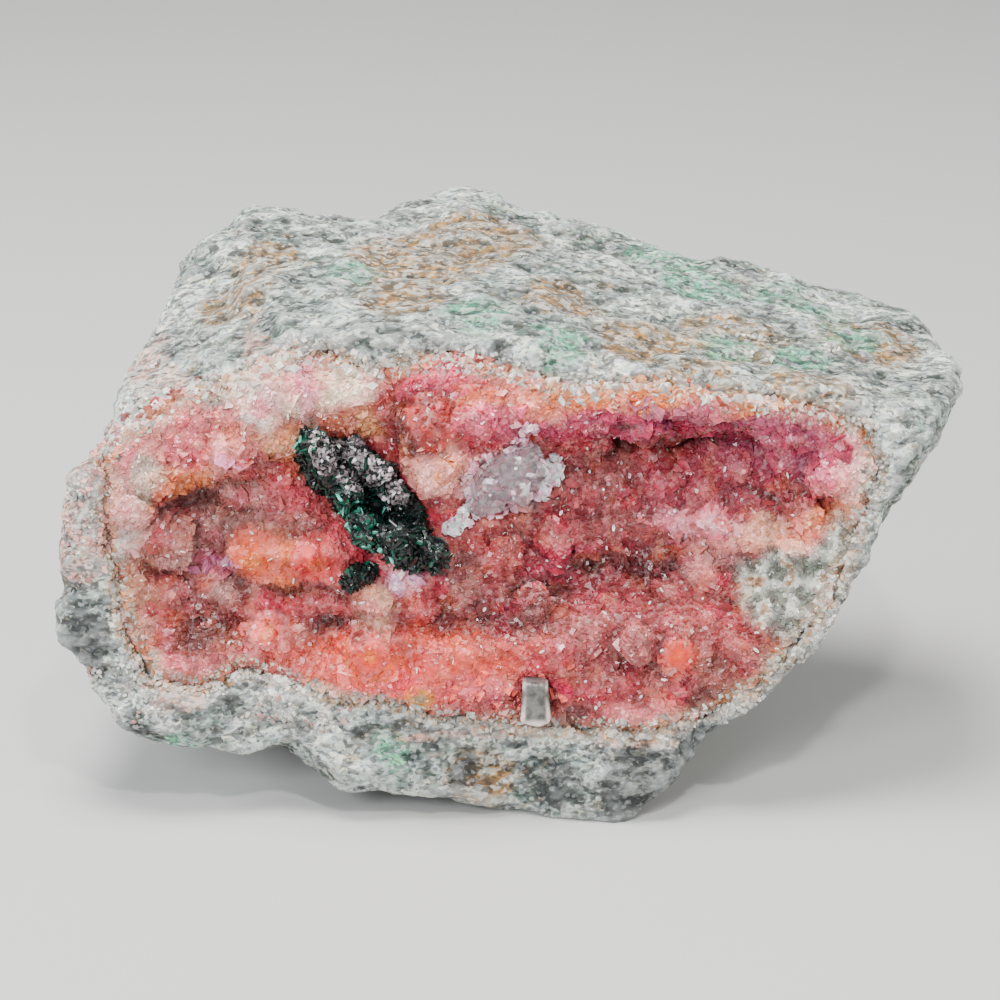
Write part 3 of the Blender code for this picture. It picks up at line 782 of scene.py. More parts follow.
def makeRock():
    piece = copyOfNode("host_rock", "rockSkin")
    remesh(piece, rock["voxel"], rock["smoothing"])
    movePoints(piece, pointsOf(piece) + normalsOf(piece) * rock["swell"] * mm)
    for pattern, size, height, stretch in rock["bumps"]:
        roughen(piece, pattern, size, height, stretch)
    low = np.array(cadBox[0]) - rock["keepInside"] * mm
    high = np.array(cadBox[1]) + rock["keepInside"] * mm
    low[2] = 0
    movePoints(piece, np.clip(pointsOf(piece), low, high))
    places = pointsOf(piece) / mm
    weights = np.zeros((len(places), 4))
    for column, kind in enumerate(stainsAndShade):
        for centre, reach, amount in stainsAndShade[kind]:
            away = np.linalg.norm(places - centre, axis=1) / reach
            share = amount * smoothStep(rock["stainFade"] * (1 - away))
            weights[:, column] = np.maximum(weights[:, column], share)
    fromEdge = edgeDistance(places)
    creamBand = rimBand["creamStrength"] * smoothStep(1 - fromEdge / rimBand["cream"])
    weights[:, 2] = np.maximum(weights[:, 2], creamBand)
    paint(piece, "stainAndShade", weights)
    orange = smoothStep(1 - fromEdge / rimBand["orange"])
    # crest and hollow heights of the skin, for painted highlight and painted shade
    iterations, reach = rock["wear"]
    heights = crestHeights(piece, iterations) / (reach * mm)
    rose = np.zeros(len(places))
    for *patch, amount in roseMargin:
        away = awayFrom(places[:, 0], places[:, 2], *patch)
        rose = np.maximum(rose, amount * smoothStep(rock["roseFade"] * (1 - away)) * (places[:, 1] < 0))
    paint(piece, "relief", np.stack([orange, smoothStep(heights), smoothStep(-heights), rose], axis=1))
    piece.data.shade_smooth()
    dress(piece, rockMaterial(), "host_rock", "host_rock")
    return piece


rockSkin = makeRock()
print("rock skin:", len(rockSkin.data.polygons), "faces")


# Pink crust: the bed that the crystals grow from

crust = {
    "voxel": 0.28,
    "smoothing": 3,
    "swell": 0.42,  # closes the fit gap to the rock
    "soften": 180,  # rounds of smoothing where the crust is calm
    "bumps": (
        ("CLOUDS", 3.0, 0.8, (1, 1, 1)),
        ("VORONOI", 1.3, 0.35, (0.8, 1, 1.8)),
        ("CLOUDS", 0.6, 0.25, (1, 1, 1)),
    ),
    "bedShade": 0.9,
    "base": (0.36, 0.10, 0.09),
    "zones": {  # x, z, reach along x and z, colour, strength
        "leftCavity": (-24.0, 22.0, 8.0, 7.0, (0.48, 0.36, 0.30), 0.8),
        "leftRose": (-26.0, 30.0, 7.5, 4.4, (0.80, 0.38, 0.33), 0.85),
        "leftCream": (-19.0, 35.0, 6.0, 2.8, (0.82, 0.68, 0.52), 0.95),
        "leftDruse": (-20.4, 33.6, 2.6, 2.6, (0.70, 0.62, 0.56), 0.9),
        "leftGreyDruse": (-24.4, 34.4, 2.6, 1.6, (0.34, 0.34, 0.29), 0.9),
        "pinkStreak": (-16.6, 35.6, 1.3, 3.4, (0.86, 0.46, 0.52), 0.9),
        "knob": (-13.4, 34.6, 2.8, 2.6, (0.86, 0.72, 0.56), 0.95),
        "knobBelow": (-13.2, 31.6, 3.6, 1.8, (0.62, 0.34, 0.16), 0.85),
        "knobShadow": (-16.2, 32.2, 1.6, 1.8, (0.30, 0.24, 0.20), 0.85),
        "besideMalachite": (-18.4, 30.6, 2.6, 2.4, (0.70, 0.42, 0.22), 0.8),
        "leftOrange": (-26.7, 26.6, 3.6, 2.0, (0.74, 0.34, 0.10), 0.9),
        "leftEdge": (-31.4, 26.0, 2.4, 7.0, (0.82, 0.56, 0.48), 0.8),
        "leftEdgeLow": (-30.4, 18.0, 2.2, 5.0, (0.40, 0.24, 0.15), 0.8),
        "leftDark": (-27.6, 22.6, 3.2, 2.4, (0.30, 0.11, 0.09), 0.85),
        "greyPatch": (-31.8, 22.6, 1.2, 2.6, (0.42, 0.42, 0.40), 0.85),
        "boulder": (-18.0, 20.3, 6.2, 3.2, (0.95, 0.34, 0.14), 0.9),
        "boulderRed": (-14.6, 20.8, 2.6, 3.2, (0.80, 0.18, 0.20), 0.8),
        "pinkRidge": (-23.8, 19.3, 3.2, 1.0, (0.95, 0.34, 0.44), 0.9),
        "lowLeftDark": (-25.5, 14.6, 4.0, 2.4, (0.22, 0.08, 0.06), 0.75),
        "darkPocket": (-16.0, 15.2, 3.4, 1.6, (0.20, 0.11, 0.09), 0.75),
        "leftRing": (-20.0, 14.8, 2.4, 2.2, (0.88, 0.36, 0.28), 0.9),
        "lowLeftPink": (-26.4, 12.0, 3.0, 1.6, (0.80, 0.30, 0.30), 0.8),
        "coralShelf": (-8.0, 13.0, 14.0, 3.6, (0.88, 0.20, 0.12), 0.95),
        "coralOrange": (-12.0, 13.4, 4.0, 2.0, (0.88, 0.23, 0.07), 0.8),
        "coralPink": (-3.0, 11.6, 6.0, 1.8, (0.90, 0.26, 0.28), 0.85),
        "coralHot": (-9.6, 11.4, 3.0, 1.4, (0.88, 0.12, 0.16), 0.85),
        "rosette": (-6.3, 28.6, 3.8, 3.4, (0.88, 0.54, 0.44), 0.85),
        "dome": (-6.6, 32.0, 3.0, 2.0, (0.44, 0.13, 0.09), 0.8),
        "topPink": (-6.2, 34.6, 4.0, 2.2, (0.86, 0.16, 0.24), 0.9),
        "topCoral": (-1.0, 33.4, 6.0, 2.0, (0.86, 0.34, 0.20), 0.85),
        "innerPink": (-2.5, 32.0, 5.0, 1.6, (0.78, 0.22, 0.28), 0.8),
        "ledge": (12.0, 31.4, 18.0, 2.8, (0.34, 0.075, 0.15), 0.95),
        "ledgeBright": (12.0, 33.0, 5.0, 1.0, (0.74, 0.24, 0.30), 0.7),
        "ledgeRight": (22.0, 28.8, 8.5, 3.6, (0.60, 0.20, 0.27), 0.95),
        "rightEdge": (28.0, 27.5, 3.0, 5.0, (0.92, 0.62, 0.56), 0.85),
        "topOrange": (9.0, 34.4, 9.0, 1.9, (0.66, 0.24, 0.035), 0.95),
        "topOrangeRight": (21.0, 33.4, 7.0, 1.2, (0.66, 0.25, 0.05), 0.9),
        "basinBrown": (8.0, 24.5, 9.0, 4.8, (0.24, 0.088, 0.082), 0.85),
        "basinRose": (16.0, 25.4, 8.0, 3.6, (0.35, 0.095, 0.115), 0.8),
        "centrePink": (4.0, 19.8, 4.5, 2.2, (0.60, 0.11, 0.17), 0.75),
        # painted shade in the crevice below the crest
        "centreCreviceShade": (0.0, 17.0, 9.0, 2.4, (0.13, 0.045, 0.042), 0.85),
        # white crystalline patch under the clear crystals, partly its own colour and partly painted light
        # where little light gets through them
        "whiteFieldAndPaintedLight": (-0.5, 26.8, 4.0, 3.6, (0.96, 0.88, 0.88), 1.0),
        "pocketShadow": (-9.2, 30.6, 1.3, 1.6, (0.05, 0.02, 0.02), 0.95),
        "crestPink": (15.6, 22.4, 5.0, 1.8, (1.0, 0.52, 0.56), 0.9),
        "crestCream": (21.0, 22.2, 6.4, 1.6, (0.94, 0.56, 0.40), 0.95),
        "crestOrange": (25.7, 24.0, 3.2, 2.0, (0.80, 0.36, 0.18), 0.85),
        "rust": (25.0, 17.3, 2.4, 2.4, (0.30, 0.15, 0.09), 0.8),
        "lowMauve": (9.0, 14.4, 9.0, 4.4, (0.36, 0.13, 0.12), 0.85),
        "hotCorner": (4.0, 11.0, 1.6, 1.5, (0.70, 0.05, 0.16), 0.9),
        "orangeSpot": (13.5, 13.3, 2.0, 1.8, (0.84, 0.20, 0.06), 0.95),
        "lowRight": (16.5, 11.0, 6.0, 3.0, (0.38, 0.18, 0.14), 0.75),
        "lowRightPink": (10.3, 8.8, 4.2, 1.5, (0.84, 0.34, 0.32), 0.9),
        "edgeBrown": (22.5, 12.4, 5.0, 4.4, (0.26, 0.13, 0.10), 0.85),
        # painted shade in the crevice below the crest
        "basinCreviceShade": (10.0, 19.4, 10.0, 2.0, (0.13, 0.036, 0.04), 0.9),
        "crestMass": (16.4, 20.2, 3.2, 2.8, (0.94, 0.48, 0.42), 0.95),
        "brownBasin": (-4.0, 19.8, 4.0, 2.6, (0.22, 0.11, 0.10), 0.75),
        # painted shadow under the overhanging ledge
        "ledgeShadow": (14.0, 29.4, 13.0, 1.3, (0.20, 0.04, 0.04), 0.7),
        "leftGrey": (-29.6, 27.6, 1.6, 2.6, (0.48, 0.44, 0.36), 0.8),
        "leftLowCream": (-29.6, 12.6, 2.2, 2.0, (0.70, 0.58, 0.42), 0.8),
        "lilacSpot": (-8.4, 19.7, 1.7, 1.6, (0.80, 0.56, 0.66), 0.9),
        "underSprig": (-11.0, 17.6, 2.6, 2.4, (0.82, 0.54, 0.38), 0.85),
    },
    "paintedShadows": (  # painted shadow in crevices, pockets and under the boulder and ledge: x, z, reach along x and z
        (21.4, 14.8, 1.3, 0.8), (4.9, 8.6, 1.4, 1.0), (7.0, 19.2, 5.5, 0.7), (17.6, 16.6, 2.0, 0.5),
        (-17.5, 18.0, 6.0, 0.7), (-26.4, 24.4, 3.2, 1.2), (-8.4, 31.4, 1.0, 1.6),
        (16.0, 9.6, 3.0, 1.6), (-14.6, 15.6, 3.0, 0.9), (-25.2, 14.6, 2.6, 1.0), (8.6, 31.6, 1.6, 0.6),
        (19.0, 31.0, 2.4, 0.5), (20.5, 25.0, 2.2, 0.6),
    ),
    "paintedShadowColour": (0.07, 0.025, 0.022),
    "paintedShadowStrength": 0.75,
    "paintedShadowFade": 1.8,  # how quickly a patch fades in from its edge, here and below
    "zoneFade": 1.7,
    "matrix": {  # places where the host rock shows through: x, z, reach along x and z
        "patches": ((23.2, 18.0, 5.6, 4.4), (26.6, 20.6, 3.0, 4.0)),
        "colours": ((0.16, 0.17, 0.14), (0.44, 0.44, 0.38), (0.74, 0.72, 0.64), (0.36, 0.20, 0.10)),
        "steps": (0.1, 0.42, 0.8, 1.1),
        "grain": 1.1,
        "fade": 2.4,
    },
    "rimCream": (0.78, 0.58, 0.40),
    "rimOrange": (0.66, 0.25, 0.05),
    "rimReach": 1.6,
    "rimShare": 0.85,
    "warp": 1.3,  # how ragged the zones' edges are
    "wander": 0.7,  # how far the folds stray from straight
    "mottles": (  # size, level of the noise where it starts, strength, colour
        (4.0, 0.14, 0.40, (0.74, 0.08, 0.14)),
        (1.9, 0.20, 0.45, (0.78, 0.26, 0.10)),
        (2.3, 0.18, 0.60, (0.66, 0.06, 0.14)),
        (1.5, 0.20, 0.50, (0.88, 0.48, 0.38)),
        (2.6, 0.14, 0.55, (0.17, 0.05, 0.04)),
        (0.8, 0.24, 0.45, (0.86, 0.34, 0.34)),
    ),
    "calm": (  # x, z, reach along x and z of smoother stretches
        (12.0, 24.5, 17.0, 7.0), (11.0, 13.5, 12.0, 6.0), (3.0, 18.0, 12.0, 5.0), (-24.0, 25.0, 7.0, 5.0),
        (-8.0, 12.6, 14.0, 3.4), (-26.0, 15.0, 6.0, 4.0), (-18.5, 20.0, 7.0, 4.0), (-28.0, 22.0, 5.0, 4.5),
    ),
    "calmBase": 0.7,
    "calmShare": 0.6,
    "folds": {  # x, z, reach along x, half width, slope, and how far each ridge stands out
        "boulderRow": (-18.0, 21.2, 7.0, 0.8, 0.04, 0.9),
        "ringRow": (-18.0, 16.6, 8.0, 0.7, 0.10, 0.6),
        "basinRidge": (9.0, 21.8, 9.0, 0.7, 0.02, 0.5),
        "crest": (15.0, 22.9, 6.0, 0.7, 0.0, 0.7),
        "lowRidge": (8.0, 16.2, 10.0, 0.8, -0.06, 0.25),
        "shelfEdge": (-4.0, 14.6, 13.0, 0.7, -0.03, 0.6),
        "ledgeFold": (16.0, 30.4, 11.0, 0.6, -0.12, 0.6),
        "leftFold": (-25.0, 27.4, 7.0, 0.7, 0.1, 0.6),
    },
    "ringSteps": (0.15, 0.45, 0.85),  # shares of a bulge's radius where its colours lie
    "bulges": {  # x, z, radius, height, and the colours from its middle outwards
        "leftRing": (-20.0, 14.9, 1.3, 0.4, ((0.90, 0.42, 0.22), (0.80, 0.16, 0.10), (0.92, 0.32, 0.30))),
        "brownDome": (-6.9, 32.2, 2.0, 0.8, ((0.32, 0.06, 0.04), (0.22, 0.035, 0.03), (0.42, 0.09, 0.07))),
        "orangeRing": (-5.4, 28.9, 1.0, 0.3, ((0.90, 0.60, 0.38), (0.58, 0.20, 0.06), (0.82, 0.42, 0.24))),
        "greyEye": (-7.6, 10.4, 1.2, 0.3, ((0.26, 0.21, 0.15), (0.48, 0.30, 0.12), (0.88, 0.36, 0.07))),
        "orangeBoulder": (
            -21.2, 20.4, 2.4, 0.3, ((0.88, 0.36, 0.12), (0.80, 0.22, 0.08), (0.84, 0.30, 0.22)),
        ),
        "redBoulder": (-16.0, 20.6, 2.2, 0.3, ((0.84, 0.24, 0.10), (0.70, 0.12, 0.09), (0.80, 0.22, 0.20))),
        "shelfBoulder": (-11.6, 14.0, 1.6, 0.5, ((0.90, 0.30, 0.05), (0.84, 0.14, 0.05), (0.88, 0.22, 0.18))),
        "orangeSpot": (13.4, 13.4, 1.4, 0.3, ((0.88, 0.18, 0.05), (0.80, 0.10, 0.04), (0.84, 0.24, 0.18))),
        "crestRound": (16.2, 22.7, 1.5, 0.5, ((1.0, 0.66, 0.66), (0.95, 0.48, 0.50), (0.86, 0.34, 0.36))),
    },
    "depth": 0.54,  # how far the weaker channels sink, which deepens the colour
    "level": (0.88, 0.90, 1.14),  # on each channel of the vivid colours
    # colour of the painted highlight on crystals on crests
    "crestHighlight": (0.95, 0.56, 0.50),
}


def calmness(places):
    quiet = np.full(len(places), crust["calmBase"])
    for patch in crust["calm"]:
        quiet = np.maximum(quiet, smoothStep(2 * (1 - awayFrom(places[:, 0], places[:, 2], *patch))))
    return quiet


def crustTints(places, seed):
    # the crust's colour at each place, in millimetres, from its named zones
    warpX = noiseAt(places, 2.6, seed) * crust["warp"]
    warpZ = noiseAt(places, 2.6, seed + 40) * crust["warp"]
    x, z = places[:, 0] + warpX, places[:, 2] + warpZ
    tints = np.tile(np.array(crust["base"]), (len(places), 1))
    for *patch, colour, amount in crust["zones"].values():
        share = amount * smoothStep(crust["zoneFade"] * (1 - awayFrom(x, z, *patch)))
        tints = laidOver(tints, colour, share)
    strength = 1 - crust["calmShare"] * calmness(places)
    for i, (size, level, amount, colour) in enumerate(crust["mottles"]):
        share = amount * smoothStep(4 * (noiseAt(places, size, seed + 10 * i + 7) - level))
        tints = laidOver(tints, colour, share * strength)
    for bulgeX, bulgeZ, radius, _, colours in crust["bulges"].values():
        away = np.hypot(places[:, 0] - bulgeX, places[:, 2] - bulgeZ) / radius + warpX * 0.06
        ring = colourAlong(away, crust["ringSteps"], colours)
        tints = laidOver(tints, ring, smoothStep((1.1 - away) * 4))
    # painted shadow laid over the zones at the darkest places
    for patch in crust["paintedShadows"]:
        share = crust["paintedShadowStrength"] * smoothStep(crust["paintedShadowFade"] * (1 - awayFrom(x, z, *patch)))
        tints = laidOver(tints, crust["paintedShadowColour"], share)
    strongest = tints.max(axis=1, keepdims=True)
    vivid = 1 - tints.min(axis=1, keepdims=True) / strongest
    tints = tints * (tints / strongest) ** crust["depth"] * (1 + (np.array(crust["level"]) - 1) * vivid)
    matrix = crust["matrix"]
    grain = 0.5 + 1.5 * noiseAt(places, matrix["grain"], seed + 90)
    rocky = colourAlong(grain, matrix["steps"], matrix["colours"])
    for patch in matrix["patches"]:
        tints = laidOver(tints, rocky, smoothStep(matrix["fade"] * (1 - awayFrom(x, z, *patch))))
    uneven = np.clip(0.75 + 1.1 * noiseAt(places, 3.4, seed + 60), 0, 1)
    rim = uneven * smoothStep(1 - edgeDistance(places) / crust["rimReach"])
    pick = smoothStep(0.5 + 1.8 * noiseAt(places, 1.5, seed + 80))
    shade = np.outer(pick, crust["rimCream"]) + np.outer(1 - pick, crust["rimOrange"])
    return laidOver(tints, shade, crust["rimShare"] * rim)


def makeBed():
    piece = copyOfNode("dolomite_crust", "crustBed")
    remesh(piece, crust["voxel"], crust["smoothing"])
    movePoints(piece, pointsOf(piece) + normalsOf(piece) * crust["swell"] * mm)
    facing = smoothStep(0.5 - 1.5 * normalsOf(piece)[:, 1])
    group = weightGroup(piece, "front", facing)
    step = piece.modifiers.new("calm", "SMOOTH")
    step.factor = 0.5
    step.iterations = crust["soften"]
    step.vertex_group = weightGroup(piece, "calm", facing * calmness(pointsOf(piece) / mm))
    applyAll(piece)
    for pattern, size, height, stretch in crust["bumps"]:
        roughen(piece, pattern, size, height, stretch, group)
    places, front = pointsOf(piece), normalsOf(piece)[:, 1] < 0.3
    wander = crust["wander"] * noiseAt(places / mm, 2.6, 33.0)
    outward = np.array((0, -1, frontLean)) / math.hypot(1, frontLean)
    for middleX, middleZ, reachX, reachZ, slope, height in crust["folds"].values():
        x, z = places[:, 0] / mm - middleX, places[:, 2] / mm - middleZ
        z = z - slope * x + wander
        rise = height * np.exp(-(z / reachZ) ** 2) * smoothStep(1.6 * (1 - np.abs(x) / reachX)) * front
        places = places + rise[:, None] * outward * mm
    for bulgeX, bulgeZ, radius, height, _ in crust["bulges"].values():
        away = np.hypot(places[:, 0] / mm - bulgeX, places[:, 2] / mm - bulgeZ) / radius
        rise = height * np.sqrt(np.clip(1 - away**2, 0, 1)) * front
        places = places + rise[:, None] * outward * mm
    movePoints(piece, places)
    shade = recessShade(piece)
    places = pointsOf(piece) / mm
    paint(piece, "tint", crustTints(places, 3.0) * (crust["bedShade"] * shade(places))[:, None])
    piece.data.shade_smooth()
    dress(piece, crystalMaterial("crustBed", 0.12, (0.3, 0.6)), "pink_dolomite", "dolomite_crust")
    return piece, shade


crustBed, crustShade = makeBed()
print("crust bed:", len(crustBed.data.polygons), "faces")


# Dolomite crystals over the bed

druse = {
    # places tried, distance between crystals, edge length, and how far each one's short axis leans
    # from the surface's own direction (a flat crystal on edge leans the most)
    "fine": {"tries": 130000, "spacing": (0.22, 0.33), "edge": (0.24, 0.44), "lean": (0.0, 1.5)},
    "middle": {"tries": 4200, "spacing": (0.7, 1.5), "edge": (0.45, 0.95), "lean": (0.5, 1.5)},
    "lift": -0.22,  # how far its middle is from the bed, as a share of its edge: below 0 it sinks in
    "splitAt": -3.0,  # x where the fine druse is parted into two pieces
    "bareness": 0.8,  # how bare the smooth zones are
    "clusters": 0.5,  # how strongly the middling ones gather in patches
    "clusterSize": 3.0,
    "lightness": (0.72, 1.16),
    # share of the painted highlight on crystals on crests
    "crestHighlight": 0.35,
}
sparks = {
    "tries": 260,
    "spacing": (0.8, 4.0),
    "size": ((0.12, 0.42), (0.10, 0.18), (0.08, 0.13)),
    # near white: painted glints
    "tint": (0.95, 0.90, 0.86),
    "lean": (0.0, 0.7),
    "lift": 0.22,
}
smoothZones = {  # x, z, reach along x and z: rounded, glassy stretches with few crystals of their own
    "coralShelf": (-8.0, 13.0, 13.0, 2.8),
    "boulder": (-18.5, 20.3, 4.6, 2.8),
    "rosette": (-6.0, 30.6, 3.4, 3.0),
    "crest": (15.0, 22.2, 4.0, 1.4),
    "leftRing": (-19.6, 15.2, 2.4, 2.0),
}
keptClear = {  # x, z, reach along x and z, and turn of what stands on the crust
    "malachite": (-12.0, 25.7, 6.6, 2.3, -42.0),
    "sprig": (-12.5, 19.6, 1.3, 0.7, 35.0),
    "clear": (-0.5, 27.0, 2.6, 1.7, 35.0),
    "block": (1.8, 10.0, 1.2, 1.8, 0.0),
}


def clearOfPieces(x, z):
    free = np.ones(len(x), dtype=bool)
    for patch in keptClear.values():
        free &= awayFrom(x, z, *patch) > 1
    return free


def onCrustFront(middle, facing):
    x, z = middle[:, 0], middle[:, 2]
    return (facing[:, 1] < 0.4) & insideEdge(x, z) & clearOfPieces(x, z)


def smoothness(x, z):
    share = np.zeros(len(x))
    for middleX, middleZ, radius, _, _ in crust["bulges"].values():
        share = np.maximum(share, 1.15 * (np.hypot(x - middleX, z - middleZ) < radius * 0.9))
    for patch in smoothZones.values():
        share = np.maximum(share, smoothStep(1.8 * (1 - awayFrom(x, z, *patch))))
    return share


def growDruse(name, kind, shape, seed, material):
    rng = np.random.default_rng(seed)
    values = druse[kind]
    at, out = surfaceSamples(crustBed, values["tries"], rng, onCrustFront)
    bare = druse["bareness"] * smoothness(at[:, 0] / mm, at[:, 2] / mm)
    if kind == "middle":
        bare = bare + druse["clusters"] * (0.6 - 2.0 * noiseAt(at / mm, druse["clusterSize"], 70.0))
    chosen = rng.random(len(at)) > bare
    at, out = at[chosen], out[chosen]
    kept = spreadOut(at, rng.uniform(*values["spacing"], len(at)) * mm)
    at, out = at[kept], out[kept]
    count = len(at)
    edge = rng.uniform(*values["edge"], count) * mm
    shade = crustShade(at / mm)
    tints = crustTints(at / mm, 3.0)
    # painted highlight: crystals on crests are paled towards the highlight colour
    pale = (druse["crestHighlight"] * smoothStep((shade - 1) / recess["bright"]) * rng.random(count))[:, None]
    tints = tints * (1 - pale) + tints.max(axis=1, keepdims=True) * np.array(crust["crestHighlight"]) * pale
    # random tone of each crystal, times the painted shade in recesses and painted highlight on crests
    light = rng.uniform(*druse["lightness"], count) * shade
    tints = tints * light[:, None] * rng.uniform(0.95, 1.05, (count, 3))
    turns = turnsAround(out, rng, values["lean"])
    sizes = edge[:, None] * rng.uniform(0.8, 1.25, (count, 3))
    feet, tints = at + out * (edge * druse["lift"])[:, None], np.clip(tints, 0, 0.95)
    left = at[:, 0] < druse["splitAt"] * mm
    parts = {"Left": left, "Right": ~left} if kind == "fine" else {"": np.ones(count, dtype=bool)}
    for side, part in parts.items():
        piece = grow(name + side, shape, feet[part], turns[part], sizes[part], tints[part])
        dress(piece, material, "pink_dolomite")
        print(name + side, part.sum(), "crystals")


def growSparks():
    # small smooth faces that catch the light, tinted near white as painted glints
    rng = np.random.default_rng(23)
    at, out = surfaceSamples(crustBed, sparks["tries"], rng, onCrustFront)
    kept = spreadOut(at, rng.uniform(*sparks["spacing"], len(at)) * mm)
    at, out = at[kept], out[kept]
    count = len(at)
    sizes = np.stack([rng.uniform(*span, count) for span in sparks["size"]], axis=1) * mm
    tints = np.array(sparks["tint"]) * rng.uniform(0.8, 1.0, (count, 1))
    turns = turnsAround(out, rng, sparks["lean"])
    piece = grow("sparks", plainRhomb, at + out * sparks["lift"] * mm, turns, sizes, tints)
    dress(piece, crystalMaterial("glintFacets", 0.0, (0.03, 0.1), 0.1), "pink_dolomite")
    print("sparks", count)


pinkCrystal = crystalMaterial("pinkDolomite")
plainRhomb = rhombShape()
lensRhomb = rhombShape(flattening=crystalShapes["lens"])
saddleRhomb = rhombShape(cuts=1, twist=crystalShapes["saddleTwist"], flattening=crystalShapes["lens"])
flatRhomb = rhombShape(flattening=crystalShapes["largeFlattening"])
growDruse("fineDruse", "fine", plainRhomb, 21, pinkCrystal)
growDruse("middleDruse", "middle", saddleRhomb, 22, pinkCrystal)
growSparks()


# Larger crystals that have a place of their own

largeCrystals = {
    "ledge": {"from": (6.0, 31.4), "to": (27.0, 29.0), "count": 80, "edge": (0.7, 1.35),
              "scatter": 1.5, "tint": (0.42, 0.045, 0.095)},
    "ledgeMauve": {"from": (9.0, 33.0), "to": (16.0, 32.0), "count": 16, "edge": (0.8, 1.5),
                   "scatter": 0.8, "tint": (0.38, 0.10, 0.145)},
    "ledgeLeft": {"from": (-8.0, 34.6), "to": (2.0, 31.8), "count": 30, "edge": (0.6, 1.2),
                  "scatter": 1.3, "tint": (0.86, 0.13, 0.22)},
    "pinkRidge": {"from": (-26.6, 18.6), "to": (-22.0, 20.2), "count": 8, "edge": (0.8, 1.4),
                  "scatter": 0.3, "tint": (0.76, 0.26, 0.44)},
    "shelf": {"from": (-17.0, 12.8), "to": (3.0, 10.6), "count": 70, "edge": (0.5, 1.1),
              "scatter": 1.3, "tint": (0.90, 0.14, 0.11)},
    "crest": {"from": (12.5, 22.8), "to": (19.0, 22.6), "count": 10, "edge": (0.5, 0.9),
              "scatter": 0.6, "tint": (0.94, 0.44, 0.50)},
    "rosette": {"from": (-8.0, 30.4), "to": (-4.2, 27.4), "count": 24, "edge": (0.6, 1.2),
                "scatter": 1.9, "tint": (0.80, 0.30, 0.24)},
    "basin": {"from": (4.0, 26.0), "to": (17.0, 22.0), "count": 36, "edge": (0.6, 1.2),
              "scatter": 2.8, "tint": (0.52, 0.12, 0.13)},
    "leftCrystal": {"from": (-24.0, 29.2), "to": (-22.4, 28.6), "count": 4, "edge": (0.9, 1.3),
                    "scatter": 0.5, "tint": (0.86, 0.26, 0.42)},
    "leftUpper": {"from": (-29.0, 30.0), "to": (-20.0, 30.6), "count": 26, "edge": (0.6, 1.2),
                  "scatter": 1.8, "tint": (0.80, 0.26, 0.22)},
    "lowRight": {"from": (6.0, 12.0), "to": (19.0, 11.6), "count": 34, "edge": (0.6, 1.2),
                 "scatter": 2.4, "tint": (0.60, 0.22, 0.20)},
}


placesTried = 60000


def makeLarge():
    rng = np.random.default_rng(31)
    at, out = surfaceSamples(crustBed, placesTried, rng, onCrustFront)
    flat = at[:, [0, 2]] / mm
    chosen, edges, tints = [], [], []
    for row in largeCrystals.values():
        start, end = np.array(row["from"]), np.array(row["to"])
        for share in (np.arange(row["count"]) + 0.5) / row["count"]:
            aim = start + (end - start) * share + rng.normal(size=2) * row["scatter"] * 0.6
            chosen.append(int(np.argmin(np.linalg.norm(flat - aim, axis=1))))
            edges.append(rng.uniform(*row["edge"]) * mm)
            tints.append(np.array(row["tint"]) * rng.uniform(0.75, 1.2))
    at, out, edges = at[chosen], out[chosen], np.array(edges)
    turns = turnsAround(out, rng, (0.5, 1.5))
    twist, flattening = crystalShapes["saddleTwist"], crystalShapes["largeFlattening"]
    shape = rhombShape(cuts=3, twist=twist, flattening=flattening)
    sizes = edges[:, None] * rng.uniform(0.5, 1.3, (len(at), 3))
    shades = np.array(tints) * crustShade(at / mm)[:, None]
    piece = grow("largeCrystals", shape, at - out * (edges * 0.3)[:, None], turns, sizes, shades)
    look = crystalMaterial("largeDolomite", 0.16, (0.05, 0.22), 0.3, (0.35, 0.45, 1.3))
    dress(piece, look, "pink_dolomite")


makeLarge()
print("large crystals placed")


# Pale and orange grains along the crust's edge, on the rock and on the crust

rimGrains = {
    "tries": 60000,
    "band": (1.0, 1.5),  # how far they spread inside and outside the edge
    "spacing": (0.27, 0.54),
    "size": (0.20, 0.44),
    "seamGrowth": 0.3,  # how much larger they are where rock and crust meet
    "seamReach": 0.7,
    "lean": (0.0, 1.5),
    "glassyShare": 0.2,
    "lightness": (0.42, 0.95),
    "patches": {  # x, z, reach along x and z, share of pink: speckled stretches of the rock outside the crust
        "leftMargin": (-35.0, 25.6, 3.4, 6.4, 1.7),
        "leftShoulder": (-29.0, 32.6, 6.0, 1.5, 0.7),
        "topLeft": (-23.0, 35.6, 4.0, 1.4, 0.1),
        "lowLeft": (-31.5, 11.0, 3.4, 3.0, 0.2),
        "lowMiddle": (-18.0, 8.8, 5.0, 1.8, 0.25),
        "topRight": (16.0, 34.4, 14.0, 0.9, 0.2),
    },
    "pink": (0.88, 0.46, 0.40),
    "cream": (0.80, 0.76, 0.68),
    "orange": (0.62, 0.31, 0.13),
    "grey": (0.26, 0.29, 0.27),
    "clear": (0.55, 0.55, 0.52),
}


seamGrains = {
    "count": 2200,
    "scatter": 0.32,
    "behind": 0.2,  # how far behind the crust's surface each one sits
    "size": (0.36, 0.72),
    "kinds": ("cream", "pink", "clear", "cream"),
}


